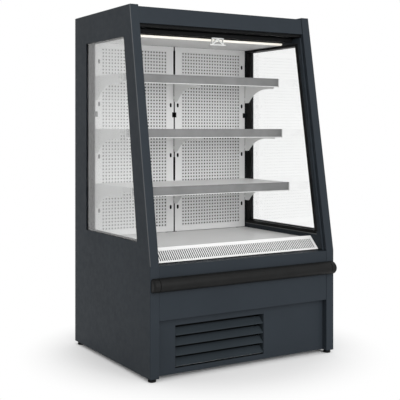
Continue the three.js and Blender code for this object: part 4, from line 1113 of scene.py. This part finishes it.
bm = extruded(LIP_SHADE_STRIP, SHADE_STRIP_X)
round_edges(bm, corner_edges(bm), 0.0004)
make_piece("grille_lip_shade_strip", bm, "grille", grille_shade_black, ["return_grille"])

# ---- condenser and evaporator
# Finned coils with steel end plates and bent return tubes. The condenser is behind the kick
# panel and has a dust screen in front; its fins, end plates and bends are painted near
# black as painted shade. The evaporator, of bare aluminium and copper, lies under the deck.

END_GAP = 0.0150
END_PLATE = 0.0015
FIN_THICKNESS = 0.0003
FIN_INSET = Vector((0.002, 0.001, 0.002))
COIL_TUBE = 0.0048
BEND_START = 0.0005
SCREEN_CELLS = (54, 29)
SCREEN_MARGINS = (0.034, 0.006)
SCREEN_WIRE, SCREEN_THICKNESS, SCREEN_OFFSET = 0.001, 0.0006, 0.0002


def fins(low, high, pitch):
    """A stack of thin upright plates that fills a box, spaced along X."""
    bm = bmesh.new()
    size = Matrix.Diagonal((FIN_THICKNESS, high.y - low.y, high.z - low.z, 1))
    for index in range(int((high.x - low.x) / pitch) + 1):
        centre = Vector((low.x + index * pitch, (low.y + high.y) / 2, (low.z + high.z) / 2))
        bmesh.ops.create_cube(bm, size=1, matrix=Matrix.Translation(centre) @ size)
    return bm


def return_bends(x, outward, rows, heights):
    """Tube bends that join pairs of heights at one end of a coil, in each row of depths."""
    bm = bmesh.new()
    turn = Matrix.Rotation(math.pi / 2, 4, "Y")
    for y in rows:
        for lower, upper in zip(heights[::2], heights[1::2]):
            ring = bmesh.ops.create_circle(
                bm,
                cap_ends=True,
                segments=10,
                radius=COIL_TUBE,
                matrix=Matrix.Translation((x, y, lower)) @ turn,
            )["verts"]
            faces = {face for vert in ring for face in vert.link_faces}
            edges = {edge for vert in ring for edge in vert.link_edges}
            bmesh.ops.spin(
                bm,
                geom=ring + list(edges) + list(faces),
                cent=(x, y, (lower + upper) / 2),
                axis=(0, outward, 0),
                angle=-math.pi,
                steps=10,
            )
    bmesh.ops.recalc_face_normals(bm, faces=bm.faces)
    return bm


def finned_coil(node, fin_pitch, rows, levels, tube_pitch, fin_metal, tube_metal, end_metal):
    """A coil in a CAD node's box: fins between two end plates, and bends outside them."""
    low, high = (corner.copy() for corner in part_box(node))
    middle = (low + high) / 2
    low.x, high.x = low.x + END_GAP, high.x - END_GAP
    bm = fins(low + FIN_INSET, high - FIN_INSET, fin_pitch)
    make_piece(f"{node}_fins", bm, "cabinet", fin_metal, [node])
    bm = bmesh.new()
    size = Matrix.Diagonal((END_PLATE, high.y - low.y, high.z - low.z, 1))
    for x in (low.x, high.x):
        centre = Matrix.Translation((x, middle.y, middle.z))
        bmesh.ops.create_cube(bm, size=1, matrix=centre @ size)
    round_edges(bm, corner_edges(bm), 0.0004, 1)
    make_piece(f"{node}_end_plates", bm, "cabinet", end_metal, [node])
    depths = [middle.y + (row - (rows - 1) / 2) * tube_pitch for row in range(rows)]
    heights = [middle.z + (row - (levels - 1) / 2) * tube_pitch for row in range(levels)]
    for side, x, outward in (("left", low.x, -1), ("right", high.x, 1)):
        bm = return_bends(x + outward * BEND_START, outward, depths, heights)
        make_piece(f"{node}_bends_{side}", bm, "cabinet", tube_metal, [node])


copper, tree, shader, place = new_material("copper_tube")
shader.inputs["Metallic"].default_value = 1.0
stain = spread(tree, noise(tree, place, 60.0, 3.0), 0, 1)
stained = tint(tree, stain, (0.52, 0.24, 0.13), (0.72, 0.36, 0.20))
tree.links.new(stained, shader.inputs["Base Color"])
tree.links.new(spread(tree, stain, 0.25, 0.45, 0, 1), shader.inputs["Roughness"])

# Near black on the condenser's fins, plates and bends: painted shade.
coil_shade_black = powder_coat("coil_shade_paint", (0.006, 0.006, 0.0065), 0.6, shift=0.1, gloss=0.1)
for node, fin_pitch, rows, levels, tube_pitch, metals in (
    ("condenser_coil", 0.0062, 3, 8, 0.0254, (coil_shade_black, coil_shade_black, coil_shade_black)),
    ("evaporator", 0.0090, 4, 2, 0.0320, (aluminium, copper, zinc)),
):
    finned_coil(node, fin_pitch, rows, levels, tube_pitch, *metals)

low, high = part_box("condenser_coil")
middle = (low + high) / 2
width, height = high.x - low.x - SCREEN_MARGINS[0], high.z - low.z - SCREEN_MARGINS[1]
bm = bmesh.new()
across, upwards = SCREEN_CELLS
bmesh.ops.create_grid(bm, x_segments=across, y_segments=upwards, size=0.5)
bmesh.ops.scale(bm, vec=(width, height, 1), verts=bm.verts)
pierce(bm, SCREEN_WIRE)
bmesh.ops.rotate(bm, matrix=UPRIGHT, verts=bm.verts)
bmesh.ops.translate(bm, vec=(middle.x, low.y + SCREEN_OFFSET, middle.z), verts=bm.verts)
thicken(bm, (0, -1, 0), SCREEN_THICKNESS)
make_piece("dust_screen", bm, "cabinet", black_plastic, ["condenser_coil"])

# ---- fans, tray and controls
# The condenser's shroud and moulded fan, the drip tray and the control box stand on the
# base frame. The evaporator's two fans run in a galvanised plate under the deck.

softened("fan_shroud", "cabinet", zinc, radius=0.0005)
softened("condenser_fan", "condenser_fan", dark_grey, radius=0.0005)
softened("drip_tray", "cabinet", black_plastic, radius=0.001)
softened("control_box", "cabinet", dark_grey, radius=0.002)
softened("evap_fan_plate", "cabinet", zinc, radius=0.0005)
for side in ("left", "right"):
    softened(f"evap_fan_{side}", f"evaporator_fan_{side}", dark_grey)

# ---- compressor
# A hermetic compressor beside the condenser: two drawn steel halves welded together at a
# rim and painted black, standing on the base frame.

SHELL = [
    (0, 0),
    (0.062, 0),
    (0.071, 0.003),
    (0.0765, 0.012),
    (0.0765, 0.104),
    (0.0790, 0.106),
    (0.0800, 0.109),
    (0.0790, 0.112),
    (0.0765, 0.114),
    (0.0765, 0.150),
    (0.073, 0.168),
    (0.062, 0.183),
    (0.043, 0.191),
    (0.020, 0.1945),
    (0, 0.195),
]

compressor_paint = powder_coat(
    "compressor_paint", (0.012, 0.012, 0.013), 0.35, shift=0.1, gloss=0.5
)
low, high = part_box("compressor")
centre = ((low.x + high.x) / 2, (low.y + high.y) / 2, low.z)
bm = turned(SHELL, 48)
bmesh.ops.translate(bm, vec=centre, verts=bm.verts)
name = "compressor_shell"
make_piece(name, bm, "cabinet", compressor_paint, ["compressor"])
